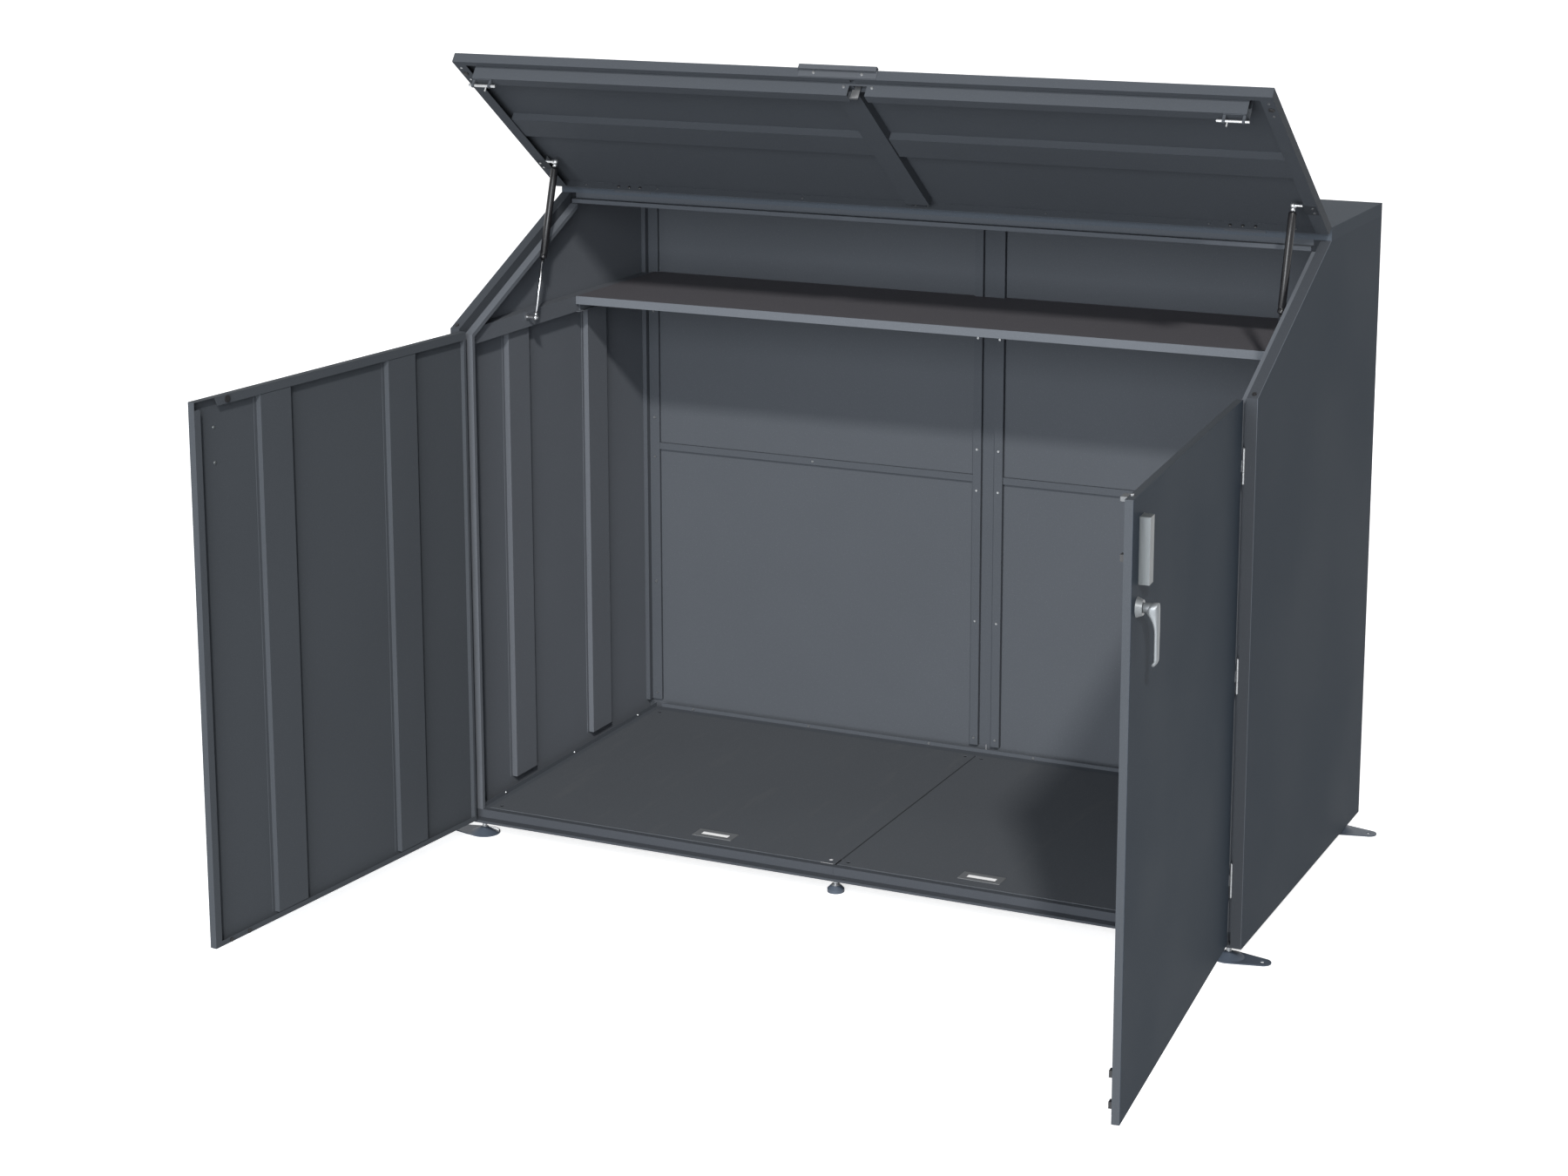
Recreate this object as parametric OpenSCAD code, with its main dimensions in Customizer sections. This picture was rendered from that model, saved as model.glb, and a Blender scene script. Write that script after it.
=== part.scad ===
// Bike shed: a low sheet-steel cabinet with two front doors and a hinged front lid.
// Modelled with both doors and the lid open. +X is to the right, +Y to the back and
// +Z up. The origin is on the ground, midway between the four anchor holes.

/* [Cabinet] */
// Width over the side walls
shed_w = 2000; // [1800:10:2300]
// Depth from the door faces to the back sheet
shed_d = 1003; // [940:1:1100]
// Height of the walls' bottom edge above the ground
ground_gap = 40; // [36:1:60]
// Height of a side wall's front edge, up to the foot of its slope
front_h = 1240.5; // [1150:0.5:1350]
// Slope of the side walls under the lid, in degrees
slope = 25.46; // [23:0.01:27]
// Depth of the fixed roof behind the lid
roof_d = 451; // [430:1:480]
// Height of the roof cap's down-turned edge
roof_edge_h = 30.5; // [28:0.5:36]
// Thickness of the sheets
sheet = 1.2; // [1:0.1:1.5]
// Thickness of the folded rails and posts
rail_sheet = 1.5; // [1.2:0.1:1.8]

/* [Side wall edge] */
// Width of the wall's outer face flange
wall_face_w = 25; // [22:0.5:30]
// Depth of the rebate that the door sits in
rebate_d = 25; // [23:0.5:28]
// Width of the rebate's face
rebate_w = 20.4; // [16:0.1:24]
// Depth of the lip behind the rebate's face
rebate_lip = 11; // [8:0.5:12]
// Width of a wall rib
wall_rib_w = 98; // [80:1:110]
// Height of a wall rib off the sheet
wall_rib_h = 15; // [10:0.5:17]
// Distance from the front to the first wall rib
wall_rib_y = 246; // [200:1:260]
// Pitch of the two wall ribs
wall_rib_pitch = 403; // [380:1:430]

/* [Floor and base] */
// Height of the floor panels' top
floor_h = 27.5; // [26:0.5:32]
// Height of the front sill's top flange
sill_h = 26; // [25:0.5:26]
// Depth of the sill's top flange
sill_flange = 17; // [14:1:20]
// Height of the sill's front lip
sill_lip = 6; // [5.5:0.1:6.5]
// Distance of the floor panels' side edges from the walls' outer faces
floor_inset = 56; // [52:0.5:60]
// Width of the seam between the floor panels
floor_seam = 4.5; // [3:0.5:6]
// Diameter of the holes near the floor panels' corners
floor_hole_d = 10; // [6:0.5:14]
// Height of the upstand on the side and back base rails
upstand_h = 10; // [8:0.5:14]
// Width of a floor panel's lift plate
lift_w = 104; // [90:1:130]
// Depth of a lift plate
lift_d = 45; // [38:1:60]
// Length of the finger slot in a lift plate
lift_slot_w = 72; // [60:1:80]
// Width of the finger slot
lift_slot_d = 18; // [14:1:24]

/* [Back] */
// Width of a back corner post's face
corner_post_w = 28.5; // [24:0.5:36]
// Distance of the back posts' faces from the back sheet
post_proud = 9; // [6:0.5:12]
// Width over the centre post
centre_post_w = 82; // [70:1:96]
// Width of each of the centre post's flanges
centre_flange_w = 22.5; // [18:0.5:28]
// Distance of the centre post's flanges from the back sheet
centre_proud = 14; // [10:0.5:18]
// Height of the middle rail's lower edge
mid_rail_z = 747; // [650:1:850]
// Height of the middle rail's section
mid_rail_h = 18; // [14:0.5:24]

/* [Shelf] */
// Height of the shelf's top
shelf_z = 1235; // [1200:1:1239]
// Depth of the shelf
shelf_d = 438; // [380:1:440]
// Height of the shelf's front edge
shelf_edge_h = 21; // [16:0.5:28]
// Height of the side rails that carry the shelf
side_rail_h = 40; // [34:1:50]
// Distance of the side rails' faces from the walls' outer faces
side_rail_in = 30; // [26:0.5:32]

/* [Lid] */
// Length of the lid from its hinge to its front edge
lid_len = 619; // [610:1:640]
// Depth of the lid's folded edges
lid_depth = 24; // [22:0.5:26]
// Width of the lips on the lid's sides
lid_side_lip = 30; // [27:0.5:34]
// Width of the lip on the lid's front
lid_front_lip = 16; // [12:0.5:17]
// Rise of the open lid, in degrees above level
lid_open = 36; // [30:0.5:40]
// Height of the front channel below the lid's top
channel_h = 54; // [50:0.5:56]
// Depth of the front channel from front to back
channel_d = 27; // [22:1:32]
// Distance of the front channel's face from the lid's front edge
channel_back = 22; // [20:0.5:26]
// Distance of the front channel's ends from the lid's sides
channel_in = 54; // [52:1:70]
// Width of the lid's cross rib
cross_rib_w = 80; // [60:1:100]
// Distance from the hinge to the cross rib's middle
cross_rib_s = 303; // [270:1:340]
// Height of the cross rib below the lid's top
cross_rib_h = 20; // [14:0.5:22]
// Width of the lid's centre rib
centre_rib_w = 60; // [50:1:70]
// Width of the lid's pull handle
lid_handle_w = 191; // [150:1:220]

/* [Lid hinges] */
// Length of a lid hinge
lid_hinge_len = 100; // [80:1:140]
// Distance of a lid hinge's middle from the side
lid_hinge_in = 204; // [160:1:300]
// Radius of the lid hinge's barrel
lid_barrel_r = 2.5; // [2.4:0.1:3]

/* [Lid spring bolts] */
// Diameter of a spring bolt
bolt_d = 7; // [6:0.5:8]
// Length of a spring bolt's housing
bolt_housing_len = 50; // [46:1:60]
// Travel of a spring bolt
bolt_travel = 12; // [8:1:16]

/* [Gas struts] */
// Distance of the struts' axes from the walls' outer faces
strut_in = 56; // [54:0.5:62]
// Distance from the front to a strut's lower ball
strut_y = 310; // [290:1:330]
// Distance of the lower ball above the side rail's lower edge
strut_rise = 27; // [22:0.5:30]
// Distance from the lid hinge to a strut's upper ball
strut_s = 141; // [130:1:150]
// Diameter of a strut's cylinder
strut_d = 18; // [16:0.5:20]
// Diameter of a strut's rod
strut_rod_d = 8; // [6:0.5:10]
// Diameter of the ball ends
strut_ball_d = 10; // [9:0.5:11]

/* [Doors] */
// Height of a door's bottom edge above the walls' bottom
door_z = 8; // [7.5:0.5:12]
// Gap between the closed doors
door_gap = 4; // [3:0.5:8]
// Gap between a door's top and the foot of the walls' slope
door_top_gap = 3.5; // [2:0.5:10]
// Gap between a door's hinge edge and the wall's flange
door_hinge_gap = 3.5; // [3.2:0.1:4.5]
// Thickness of a door
door_t = 16.5; // [15:0.5:18]
// Opening of the doors, in degrees from closed
door_open = 95; // [85:1:100]
// Width of the lip on a door's free edge, top and bottom
door_lip = 20; // [16:0.5:24]
// Width of a door rib
door_rib_w = 100; // [80:1:120]
// Depth of a door rib
door_rib_h = 14; // [10:0.5:14.5]
// Distance from the hinge edge to the middle of the first door rib
door_rib_w1 = 248; // [220:1:280]
// Distance from the free edge to the middle of the second door rib
door_rib_w2 = 269; // [240:1:300]

/* [Door hinges] */
// Length of a door hinge
door_hinge_len = 78; // [66:1:90]
// Height of the lowest door hinge's middle
door_hinge_z = 158; // [120:1:200]
// Pitch of the door hinges
door_hinge_pitch = 467; // [430:1:480]
// Distance of the hinge axis in front of the doors' faces
hinge_front = 4; // [3.6:0.1:5]
// Radius of a door hinge's barrel
door_barrel_r = 3.2; // [3:0.1:3.5]
// Diameter of the hinge pins
pin_d = 3; // [2.5:0.1:3.2]

/* [Handles and lock] */
// Length of a door's pull handle
handle_len = 130; // [100:1:160]
// Height of the pull handle's middle
handle_z = 1129; // [1100:1:1140]
// Distance of the pull handle's web from the door's free edge
handle_in = 52; // [46:1:70]
// Height of the pull handle off the door
handle_out = 21; // [18:0.5:26]
// Width of the pull handle's lip
handle_lip = 30; // [24:0.5:36]
// Height of the lever's axis
lever_z = 1022; // [980:1:1040]
// Distance of the lever's axis from the door's free edge
lever_in = 48; // [44:1:56]
// Length of the lever's grip
lever_len = 117; // [90:1:130]
// Height of the lever's grip off the door
lever_out = 38; // [32:0.5:46]
// Diameter of the lever's rosette
rosette_d = 40; // [32:1:44]
// Distance of the lock rods from the door's free edge
rod_in = 33; // [30:0.5:36]
// Depth of the lock rods behind the door's face
rod_back = 10.5; // [10:0.5:11]
// Diameter of the lock rods
rod_d = 7; // [6:0.5:8]
// Radius of the lock cam's pins about the lever's axis
cam_r = 9; // [8:0.5:10]

/* [Feet] */
// Distance of the corner feet from the walls' outer faces
foot_in_x = 40; // [38:1:44]
// Distance of the corner feet from the front and back faces
foot_in_y = 42; // [40:1:46]
// Diameter of a corner foot's pad
foot_d = 70; // [60:1:74]
// Height of a foot's pad
foot_h = 13; // [11:0.5:16]
// Diameter of the feet's threaded studs
stud_d = 12; // [10:0.5:14]
// Distance from a corner foot's middle to its anchor hole
anchor_reach = 77; // [70:1:90]
// Diameter of the anchor holes
anchor_hole_d = 11; // [9:0.5:13]
// Thickness of the anchor plates
anchor_t = 3; // [2:0.5:4]
// Diameter of the front centre foot
centre_foot_d = 41; // [34:1:50]

/* [Hidden] */
$fn = 48;
// Clearance between parts that move past each other
slack = 0.5;
// Radial clearance of a pin in a knuckle that turns on it
pin_slack = 0.05;
hw = shed_w / 2;
roof_front = shed_d - roof_d;
wall_top = front_h + roof_front * tan(slope);
roof_top = wall_top + roof_edge_h;
back_y = shed_d - sheet;
post_y = back_y - post_proud;
centre_y = back_y - centre_proud;
paint = "#4a4f57";
paint_dark = "#3e434a";
steel = "#b9bec4";
black = "#1c1d1f";

// Every part is drawn from the front face's foot, with Z up from the walls' bottom edge
module shed() { translate([0, -shed_d / 2, ground_gap]) children(); }
module other_side() { mirror([1, 0, 0]) children(); }
module both_sides() {
    children();
    other_side() children();
}

function unit(v) = v / norm(v);
function left_of(v) = [-v[1], v[0]];
// Direction in which corner i of an open path moves when the path gets a thickness
function corner_out(p, i) =
    let (a = i == 0 ? unit(p[1] - p[0]) : unit(p[i] - p[i - 1]),
         b = i == len(p) - 1 ? a : unit(p[i + 1] - p[i]),
         m = left_of(a) + left_of(b))
    2 * m / (m * m);
// Outline of a sheet folded along the path, with its thickness on the left
function folded(p, t) =
    concat(p, [for (i = [len(p) - 1:-1:0]) p[i] + t * corner_out(p, i)]);

// Prisms of an outline given in Y and Z, in X and Z, and in X and Y
module along_x(points, x0, x1) {
    translate([x0, 0, 0]) rotate([90, 0, 90]) linear_extrude(x1 - x0) polygon(points);
}
module along_y(points, y0, y1) {
    translate([0, y1, 0]) rotate([90, 0, 0]) linear_extrude(y1 - y0) polygon(points);
}
module along_z(points, z0, z1) {
    translate([0, 0, z0]) linear_extrude(z1 - z0) polygon(points);
}
// Box between two corners
module box(a, b) { translate(a) cube(b - a); }
// Round bars along X, Y and Z
module bar_x(r, x0, x1) { translate([x0, 0, 0]) rotate([0, 90, 0]) cylinder(r = r, h = x1 - x0); }
module bar_y(r, y0, y1) { translate([0, y1, 0]) rotate([90, 0, 0]) cylinder(r = r, h = y1 - y0); }
module bar_z(r, z0, z1) { translate([0, 0, z0]) cylinder(r = r, h = z1 - z0); }
// Low screw head with its face at the origin, standing out along +Z
head_r = 4;
head_h = 2;
module screw_head() {
    cylinder(r1 = head_r, r2 = head_r * 0.75, h = head_h);
}

// Height of the wall's edge at distance y from the front, at depth t under the slope
function slope_z(y, t) = front_h + y * tan(slope) - t / cos(slope);
// Height of the corner between the front edge and the slope, at depth t under both
function corner_z(t) = slope_z(t, t);
function upright_band(z0, t0, t1) = [[t0, z0], [t1, z0], [t1, corner_z(t1)], [t0, corner_z(t0)]];
function slope_band(t0, t1) = [
    [t0, corner_z(t0)], [t1, corner_z(t1)],
    [roof_front, slope_z(roof_front, t1)], [roof_front, slope_z(roof_front, t0)]];
rebate_x = hw - wall_face_w;
lip_x = rebate_x - rebate_w;
lip_end = rebate_d + rebate_lip;
// Side of the square plates that take the feet
foot_plate = 75;
// Distance of the base rails' upstands from the outer faces
upstand_in = 38;
// Width of the back base rail's flange
back_flange = 31;
foot_x = hw - upstand_in;

module side_wall() {
    union() {
        along_x([[0, 0], [back_y, 0], [back_y, wall_top], [roof_front, wall_top],
                 [0, front_h]], hw - sheet, hw);
        along_x(upright_band(0, 0, sheet), rebate_x, hw);
        along_x(slope_band(0, sheet), rebate_x, hw);
        along_x(upright_band(0, 0, rebate_d + sheet), rebate_x, rebate_x + sheet);
        along_x(slope_band(0, rebate_d + sheet), rebate_x, rebate_x + sheet);
        along_x(slope_band(rebate_d, rebate_d + sheet), lip_x, rebate_x);
        along_x(slope_band(rebate_d, lip_end), lip_x, lip_x + sheet);
        // Bottom channel, its inner leg taking the base rail's screws
        along_y(folded([[foot_x, floor_h + upstand_h - 4], [foot_x, 0], [hw, 0]], sheet),
                foot_plate + 4, shed_d - foot_plate - 4);
        box([hw - 12, back_y - sheet, 0], [hw, back_y, wall_top]);
        box([hw - 16, roof_front + 4, wall_top - sheet], [hw, back_y, wall_top]);
    }
}
module wall_right() { color(paint) shed() side_wall(); }
module wall_left() { color(paint) shed() other_side() side_wall(); }

module front_posts() {
    color(paint) shed() both_sides() union() {
        along_x(upright_band(sill_h + 0.2, rebate_d, rebate_d + sheet), lip_x, rebate_x);
        along_x(upright_band(sill_h + 0.2, rebate_d, lip_end), lip_x, lip_x + sheet);
    }
}

rail_z = shelf_z - 1 - side_rail_h;
rail_x = hw - side_rail_in;
rail_y0 = lip_end + 14;
// The corner posts' narrow face stands this far before their wide one
post_step = 17;
rail_y1 = post_y - post_step - slack;
module wall_ribs() {
    color(paint) shed() both_sides()
    for (i = [0, 1]) {
        y0 = wall_rib_y + i * wall_rib_pitch;
        y1 = y0 + wall_rib_w;
        z0 = floor_h + upstand_h + 2;
        x0 = hw - sheet - wall_rib_h;
        along_z(folded([[hw - sheet, y0 - 10], [hw - sheet, y0], [x0 + sheet, y0],
                        [x0 + sheet, y1], [hw - sheet, y1], [hw - sheet, y1 + 10]], sheet),
                z0, rail_z - 1);
    }
}

// Rows of the lid: s runs from the hinge to the front edge, n down from the lid's top
lid_gap = 0.3;
lid_rise = lid_barrel_r;
hinge_y = roof_front - lid_barrel_r - lid_gap;
hinge_z = roof_top - 1 - lid_barrel_r;
// Place of a lid point in the shed with the lid closed
function closed_y(s, n) = hinge_y - s * cos(slope) - (lid_rise - n) * sin(slope);
function closed_z(s, n) = hinge_z - s * sin(slope) + (lid_rise - n) * cos(slope);
channel_s1 = lid_len - channel_back;
channel_s0 = channel_s1 - channel_d;
bolt_s = channel_s1 - 8;
// The bolts hang low enough to slide in under the lips of the walls' slopes
bolt_drop = 11;
bolt_n = channel_h + bolt_d / 2 + bolt_drop;

shelf_y0 = back_y - 3 - shelf_d;
strut_z = rail_z + strut_rise;
module side_rails() {
    color(paint) shed() both_sides() difference() {
        union() {
            along_y(folded([[hw - sheet, rail_z], [rail_x, rail_z], [rail_x, rail_z + side_rail_h],
                            [hw - sheet, rail_z + side_rail_h]], -rail_sheet), rail_y0, rail_y1);
            // Ledge under the shelf's end
            box([rail_x - 12, shelf_y0 + 2, rail_z],
                [rail_x + rail_sheet, rail_y1 - 12, rail_z + rail_sheet]);
        }
        translate([0, strut_y, strut_z]) bar_x(3, rail_x - 2, rail_x + 4);
    }
}

// Shelf tray with its edges turned down all round
module shelf() {
    x1 = rail_x - 1;
    y1 = back_y - 3;
    z0 = rail_z + rail_sheet;
    mid_y = shelf_y0 + shelf_d / 2;
    post_x = centre_post_w / 2 + slack;
    color(paint_dark) shed() difference() {
        union() {
            box([-x1, shelf_y0, shelf_z - sheet], [x1, y1, shelf_z]);
            box([-x1, shelf_y0, shelf_z - shelf_edge_h], [x1, shelf_y0 + sheet, shelf_z]);
            box([-x1, shelf_y0, shelf_z - shelf_edge_h],
                [x1, shelf_y0 + 14, shelf_z - shelf_edge_h + sheet]);
            both_sides() box([x1 - sheet, shelf_y0 + 16, z0], [x1, y1, shelf_z]);
            box([-x1, y1 - sheet, shelf_z - shelf_edge_h], [x1, y1, shelf_z]);
            // Stiffening channel under the middle
            along_x(folded([[mid_y - 30, shelf_z - sheet], [mid_y - 30, shelf_z - shelf_edge_h],
                            [mid_y + 30, shelf_z - shelf_edge_h], [mid_y + 30, shelf_z - sheet]],
                           sheet), -x1 + 20, x1 - 20);
        }
        // Notches around the back posts
        box([-post_x, centre_y - slack, z0 - 1], [post_x, shed_d, shelf_z + 1]);
        both_sides() box([corner_post_x - corner_post_w - slack, post_y - slack, z0 - 1],
                         [hw, shed_d, shelf_z + 1]);
    }
}

panel_foot_z = sill_lip;
ledge_z = panel_foot_z - sheet;
floor_x = hw - floor_inset;
floor_y0 = rebate_d + sill_flange + slack;
upstand_y = shed_d - upstand_in;
floor_y1 = upstand_y - back_flange;
ledge_w = 18;
// Upper part and ledge of a base rail, u being the distance from its upstand's outer face
function rail_section(w) = [
    [0, sill_h + upstand_h], [rail_sheet, sill_h + upstand_h], [rail_sheet, sill_h], [w, sill_h],
    [w, ledge_z], [w - sheet, ledge_z], [w - sheet, sill_h - rail_sheet], [0, sill_h - rail_sheet]];
function ledge_section(w) = [
    [w - sheet, panel_foot_z], [w + ledge_w, panel_foot_z], [w + ledge_w, ledge_z],
    [w - sheet, ledge_z]];
function mirrored(points, at) = [for (p = points) [at - p[0], p[1]]];
module base_rails() {
    side_w = foot_x - floor_x - slack;
    back_w = back_flange - slack;
    color(paint) shed() {
        both_sides() union() {
            along_y(mirrored(rail_section(side_w), foot_x), floor_y0 + 1, upstand_y);
            along_y(mirrored(ledge_section(side_w), foot_x), floor_y0 + ledge_w + 4,
                    floor_y1 - ledge_w - 3);
        }
        union() {
            along_x(mirrored(rail_section(back_w), upstand_y), -floor_x, floor_x);
            along_x(mirrored(ledge_section(back_w), upstand_y), -floor_x, floor_x);
        }
    }
}

module back_panel() {
    union() {
        box([slack, back_y, 0], [hw, shed_d, wall_top]);
        box([slack, back_y - 20, wall_top - sheet], [hw - 18, shed_d, wall_top]);
        along_x(folded([[upstand_y, floor_h + upstand_h - 4], [upstand_y, 0], [shed_d, 0]], sheet),
                8, hw - foot_plate - 4);
    }
}
module back_panel_right() { color(paint) shed() back_panel(); }
module back_panel_left() { color(paint) shed() other_side() back_panel(); }

corner_post_x = hw - 13;
post_z0 = sill_h + upstand_h + 1;
post_z1 = wall_top - sheet - 1;
module back_corner_posts() {
    color(paint) shed() both_sides()
    along_z(folded([[hw - sheet, post_y - post_step], [corner_post_x, post_y - post_step],
                    [corner_post_x, post_y],
                    [corner_post_x - corner_post_w, post_y],
                    [corner_post_x - corner_post_w, back_y]], -sheet), post_z0, post_z1);
}

module back_centre_post() {
    c = centre_post_w / 2;
    f = c - centre_flange_w;
    color(paint) shed()
    along_z(folded([[-c, back_y], [-c, centre_y], [-f, centre_y], [-f, back_y - sheet],
                    [f, back_y - sheet], [f, centre_y], [c, centre_y], [c, back_y]], sheet),
            post_z0, post_z1);
}

module back_mid_rails() {
    x0 = centre_post_w / 2 + slack;
    x1 = corner_post_x - corner_post_w - slack;
    color(paint) shed() both_sides()
    along_x(folded([[back_y, mid_rail_z], [post_y, mid_rail_z], [post_y, mid_rail_z + mid_rail_h],
                    [back_y, mid_rail_z + mid_rail_h]], -sheet), x0, x1);
}

roof_lip = 15;
module roof_cap() {
    color(paint) shed() difference() {
        box([-hw, roof_front, wall_top], [hw, shed_d, roof_top]);
        box([-hw + sheet, roof_front + sheet, wall_top + sheet],
            [hw - sheet, shed_d - sheet, roof_top - sheet]);
        box([-hw + roof_lip, roof_front + roof_lip, wall_top - 1],
            [hw - roof_lip, shed_d - roof_lip, roof_top - 2 * sheet]);
    }
}

beam_in = 41.5;
beam_web = 13;
beam_lip = 10;
beam_flange = 22;
module header_beam() {
    color(paint) shed()
    along_x(folded([[roof_front + roof_lip, wall_top], [roof_front, wall_top],
                    [roof_front, wall_top - beam_web],
                    [roof_front - beam_flange, wall_top - beam_web],
                    [roof_front - beam_flange, wall_top - beam_web - beam_lip]], rail_sheet),
            -hw + beam_in, hw - beam_in);
}

sill_x = rebate_x - 0.2;
sill_y = rebate_d + sill_flange;
// Lock rods inside the right door, one going up into the lid's lip and one down into the sill
rod_x = door_gap / 2 + rod_in;
module rod_hole() {
    translate([rod_x, rod_back, 0]) bar_z(rod_d / 2 + 0.9, -1, sill_lip + 1);
}
module front_sill() {
    color(paint) shed() difference() {
        both_sides() union() {
            along_x(folded([[0, 0], [0, sill_lip], [rebate_d, sill_lip], [rebate_d, sill_h],
                            [sill_y, sill_h]], -sheet), 0.2, sill_x);
            along_x([[sill_y - sheet, sill_h], [sill_y, sill_h], [sill_y, panel_foot_z],
                     [sill_y + ledge_w, panel_foot_z], [sill_y + ledge_w, ledge_z],
                     [sill_y - sheet, ledge_z]], foot_plate / 2 + 2, floor_x - 2);
        }
        rod_hole();
    }
}

// Channel under the seam between the floor panels
module floor_bearer() {
    color(paint) shed()
    along_y(folded([[-30, 0], [-30, panel_foot_z], [30, panel_foot_z], [30, 0]], -sheet),
            foot_plate + 6, floor_y1 - ledge_w - 3);
}

nut_r = 10;
nut_h = 10;
plate_t = 3;
foot_x_pos = hw - foot_in_x;
module stud_nut(x, y) {
    translate([x, y, plate_t]) cylinder(r = nut_r, h = nut_h, $fn = 6);
}
module stud_hole(x, y) {
    translate([x, y, 0]) bar_z(stud_d / 2 + pin_slack, -1, plate_t + nut_h + 1);
}
module base_plates() {
    color(paint) shed() {
        both_sides() for (y = [foot_in_y, shed_d - foot_in_y]) difference() {
            union() {
                front = y < shed_d / 2;
                y0 = front ? rebate_d + sheet + slack : back_y - foot_plate;
                y1 = front ? foot_plate : back_y - sheet - slack;
                box([hw - sheet - foot_plate, y0, 0], [hw - sheet, y1, plate_t]);
                stud_nut(foot_x_pos, y);
            }
            stud_hole(foot_x_pos, y);
        }
        difference() {
            union() {
                box([-foot_plate / 2, sheet, 0], [foot_plate / 2, sheet + foot_plate, plate_t]);
                stud_nut(0, foot_in_y);
            }
            stud_hole(0, foot_in_y);
            rod_hole();
        }
        // Splice under the joint of the two sill halves
        box([-60, rebate_d + sheet + slack, sill_h - sheet - 3],
            [60, sill_y - sheet - slack, sill_h - sheet]);
    }
}

floor_panel_x0 = floor_seam / 2;
floor_panel_x1 = floor_x - slack;
lift_x = 346;
lift_y = 100;
lift_t = 1.5;
module floor_panel() {
    difference() {
        union() {
            box([floor_panel_x0, floor_y0, floor_h - sheet], [floor_panel_x1, floor_y1, floor_h]);
            box([foot_plate / 2 + 3, floor_y0, panel_foot_z],
                [floor_panel_x1, floor_y0 + sheet, floor_h]);
            box([floor_panel_x0, floor_y1 - sheet, panel_foot_z], [floor_panel_x1, floor_y1, floor_h]);
            box([floor_panel_x0, foot_plate + 8, panel_foot_z],
                [floor_panel_x0 + sheet, floor_y1, floor_h]);
            box([floor_panel_x1 - sheet, floor_y0, panel_foot_z], [floor_panel_x1, floor_y1, floor_h]);
            // Stiffening rib across the underside
            along_x(folded([[shed_d / 2 - 50, floor_h - sheet], [shed_d / 2 - 50, floor_h - 15],
                            [shed_d / 2 + 50, floor_h - 15], [shed_d / 2 + 50, floor_h - sheet]],
                           sheet), floor_panel_x0 + 4, floor_panel_x1 - 4);
        }
        for (x = [floor_panel_x0 + 20, floor_panel_x1 - 20], y = [floor_y0 + 22, floor_y1 - 22])
            translate([x, y, 0]) bar_z(floor_hole_d / 2, floor_h - 3, floor_h + 1);
        translate([lift_x, lift_y, floor_h])
            cube([lift_slot_w + 8, lift_slot_d + 8, 4 * sheet], center = true);
    }
}
module lift_plate() {
    translate([lift_x, lift_y, floor_h]) difference() {
        translate([-lift_w / 2, -lift_d / 2, 0]) cube([lift_w, lift_d, lift_t]);
        translate([-lift_slot_w / 2, -lift_slot_d / 2, -1]) cube([lift_slot_w, lift_slot_d, 4]);
    }
}
module floor_panel_right() { color(paint_dark) shed() floor_panel(); }
module floor_panel_left() { color(paint_dark) shed() other_side() floor_panel(); }
module lift_plate_right() { color(paint) shed() lift_plate(); }
module lift_plate_left() { color(paint) shed() other_side() lift_plate(); }

// Studs on the side rails that the struts' rods turn on
eye_w = 8;
eye_r = 7;
strut_x = hw - strut_in;
stud_pin_r = 3.5;
module strut_wall_studs() {
    color(steel) shed() both_sides() translate([0, strut_y, strut_z]) union() {
        bar_x(6.5, rail_x - 4, rail_x);
        bar_x(stud_pin_r, strut_x - eye_w / 2 - 4, rail_x);
        bar_x(3, rail_x - 1, rail_x + 6);
        bar_x(strut_ball_d / 2, strut_x - eye_w / 2 - 3.5, strut_x - eye_w / 2 - 0.5);
        bar_x(strut_ball_d / 2, strut_x + eye_w / 2 + 0.5, strut_x + eye_w / 2 + 3);
    }
}

// Round rubber buffers on the foot of the walls' slopes
buffer_r = 5;
buffer_h = 3.5;
module wall_buffers() {
    color(black) shed() both_sides()
    translate([hw - 12, 12, slope_z(12, -0.1)]) rotate([slope, 0, 0])
        cylinder(r1 = buffer_r, r2 = buffer_r - 0.8, h = buffer_h);
}

post_screw_z = [56, 374, 725, 834, 1127];
base_screw_y = [148, 501, 854];
base_screw_x = [147, 498, 847];
leaf_screw_z = 15.5;
flat_head_h = 0.6;
module cabinet_screws() {
    color(steel) shed() {
        both_sides() {
            for (y = base_screw_y)
                translate([foot_x - rail_sheet, y, sill_h + upstand_h / 2]) rotate([0, -90, 0])
                    screw_head();
            for (x = base_screw_x)
                translate([x, upstand_y - rail_sheet, sill_h + upstand_h / 2]) rotate([90, 0, 0])
                    screw_head();
            for (z = post_screw_z) {
                translate([corner_post_x - corner_post_w / 2, post_y, z]) rotate([90, 0, 0])
                    screw_head();
                translate([(centre_post_w - centre_flange_w) / 2, centre_y, z]) rotate([90, 0, 0])
                    screw_head();
            }
            translate([hw / 2, post_y, mid_rail_z + mid_rail_h / 2]) rotate([90, 0, 0]) screw_head();
            // Flat heads on the door hinges' leaves
            for (z0 = hinge_zs) for (z = [-1, 1])
                translate([rebate_x - leaf_t, rebate_d / 2, z0 + z * leaf_screw_z])
                    bar_x(head_r - 0.5, -flat_head_h, 0);
        }
    }
}

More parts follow.
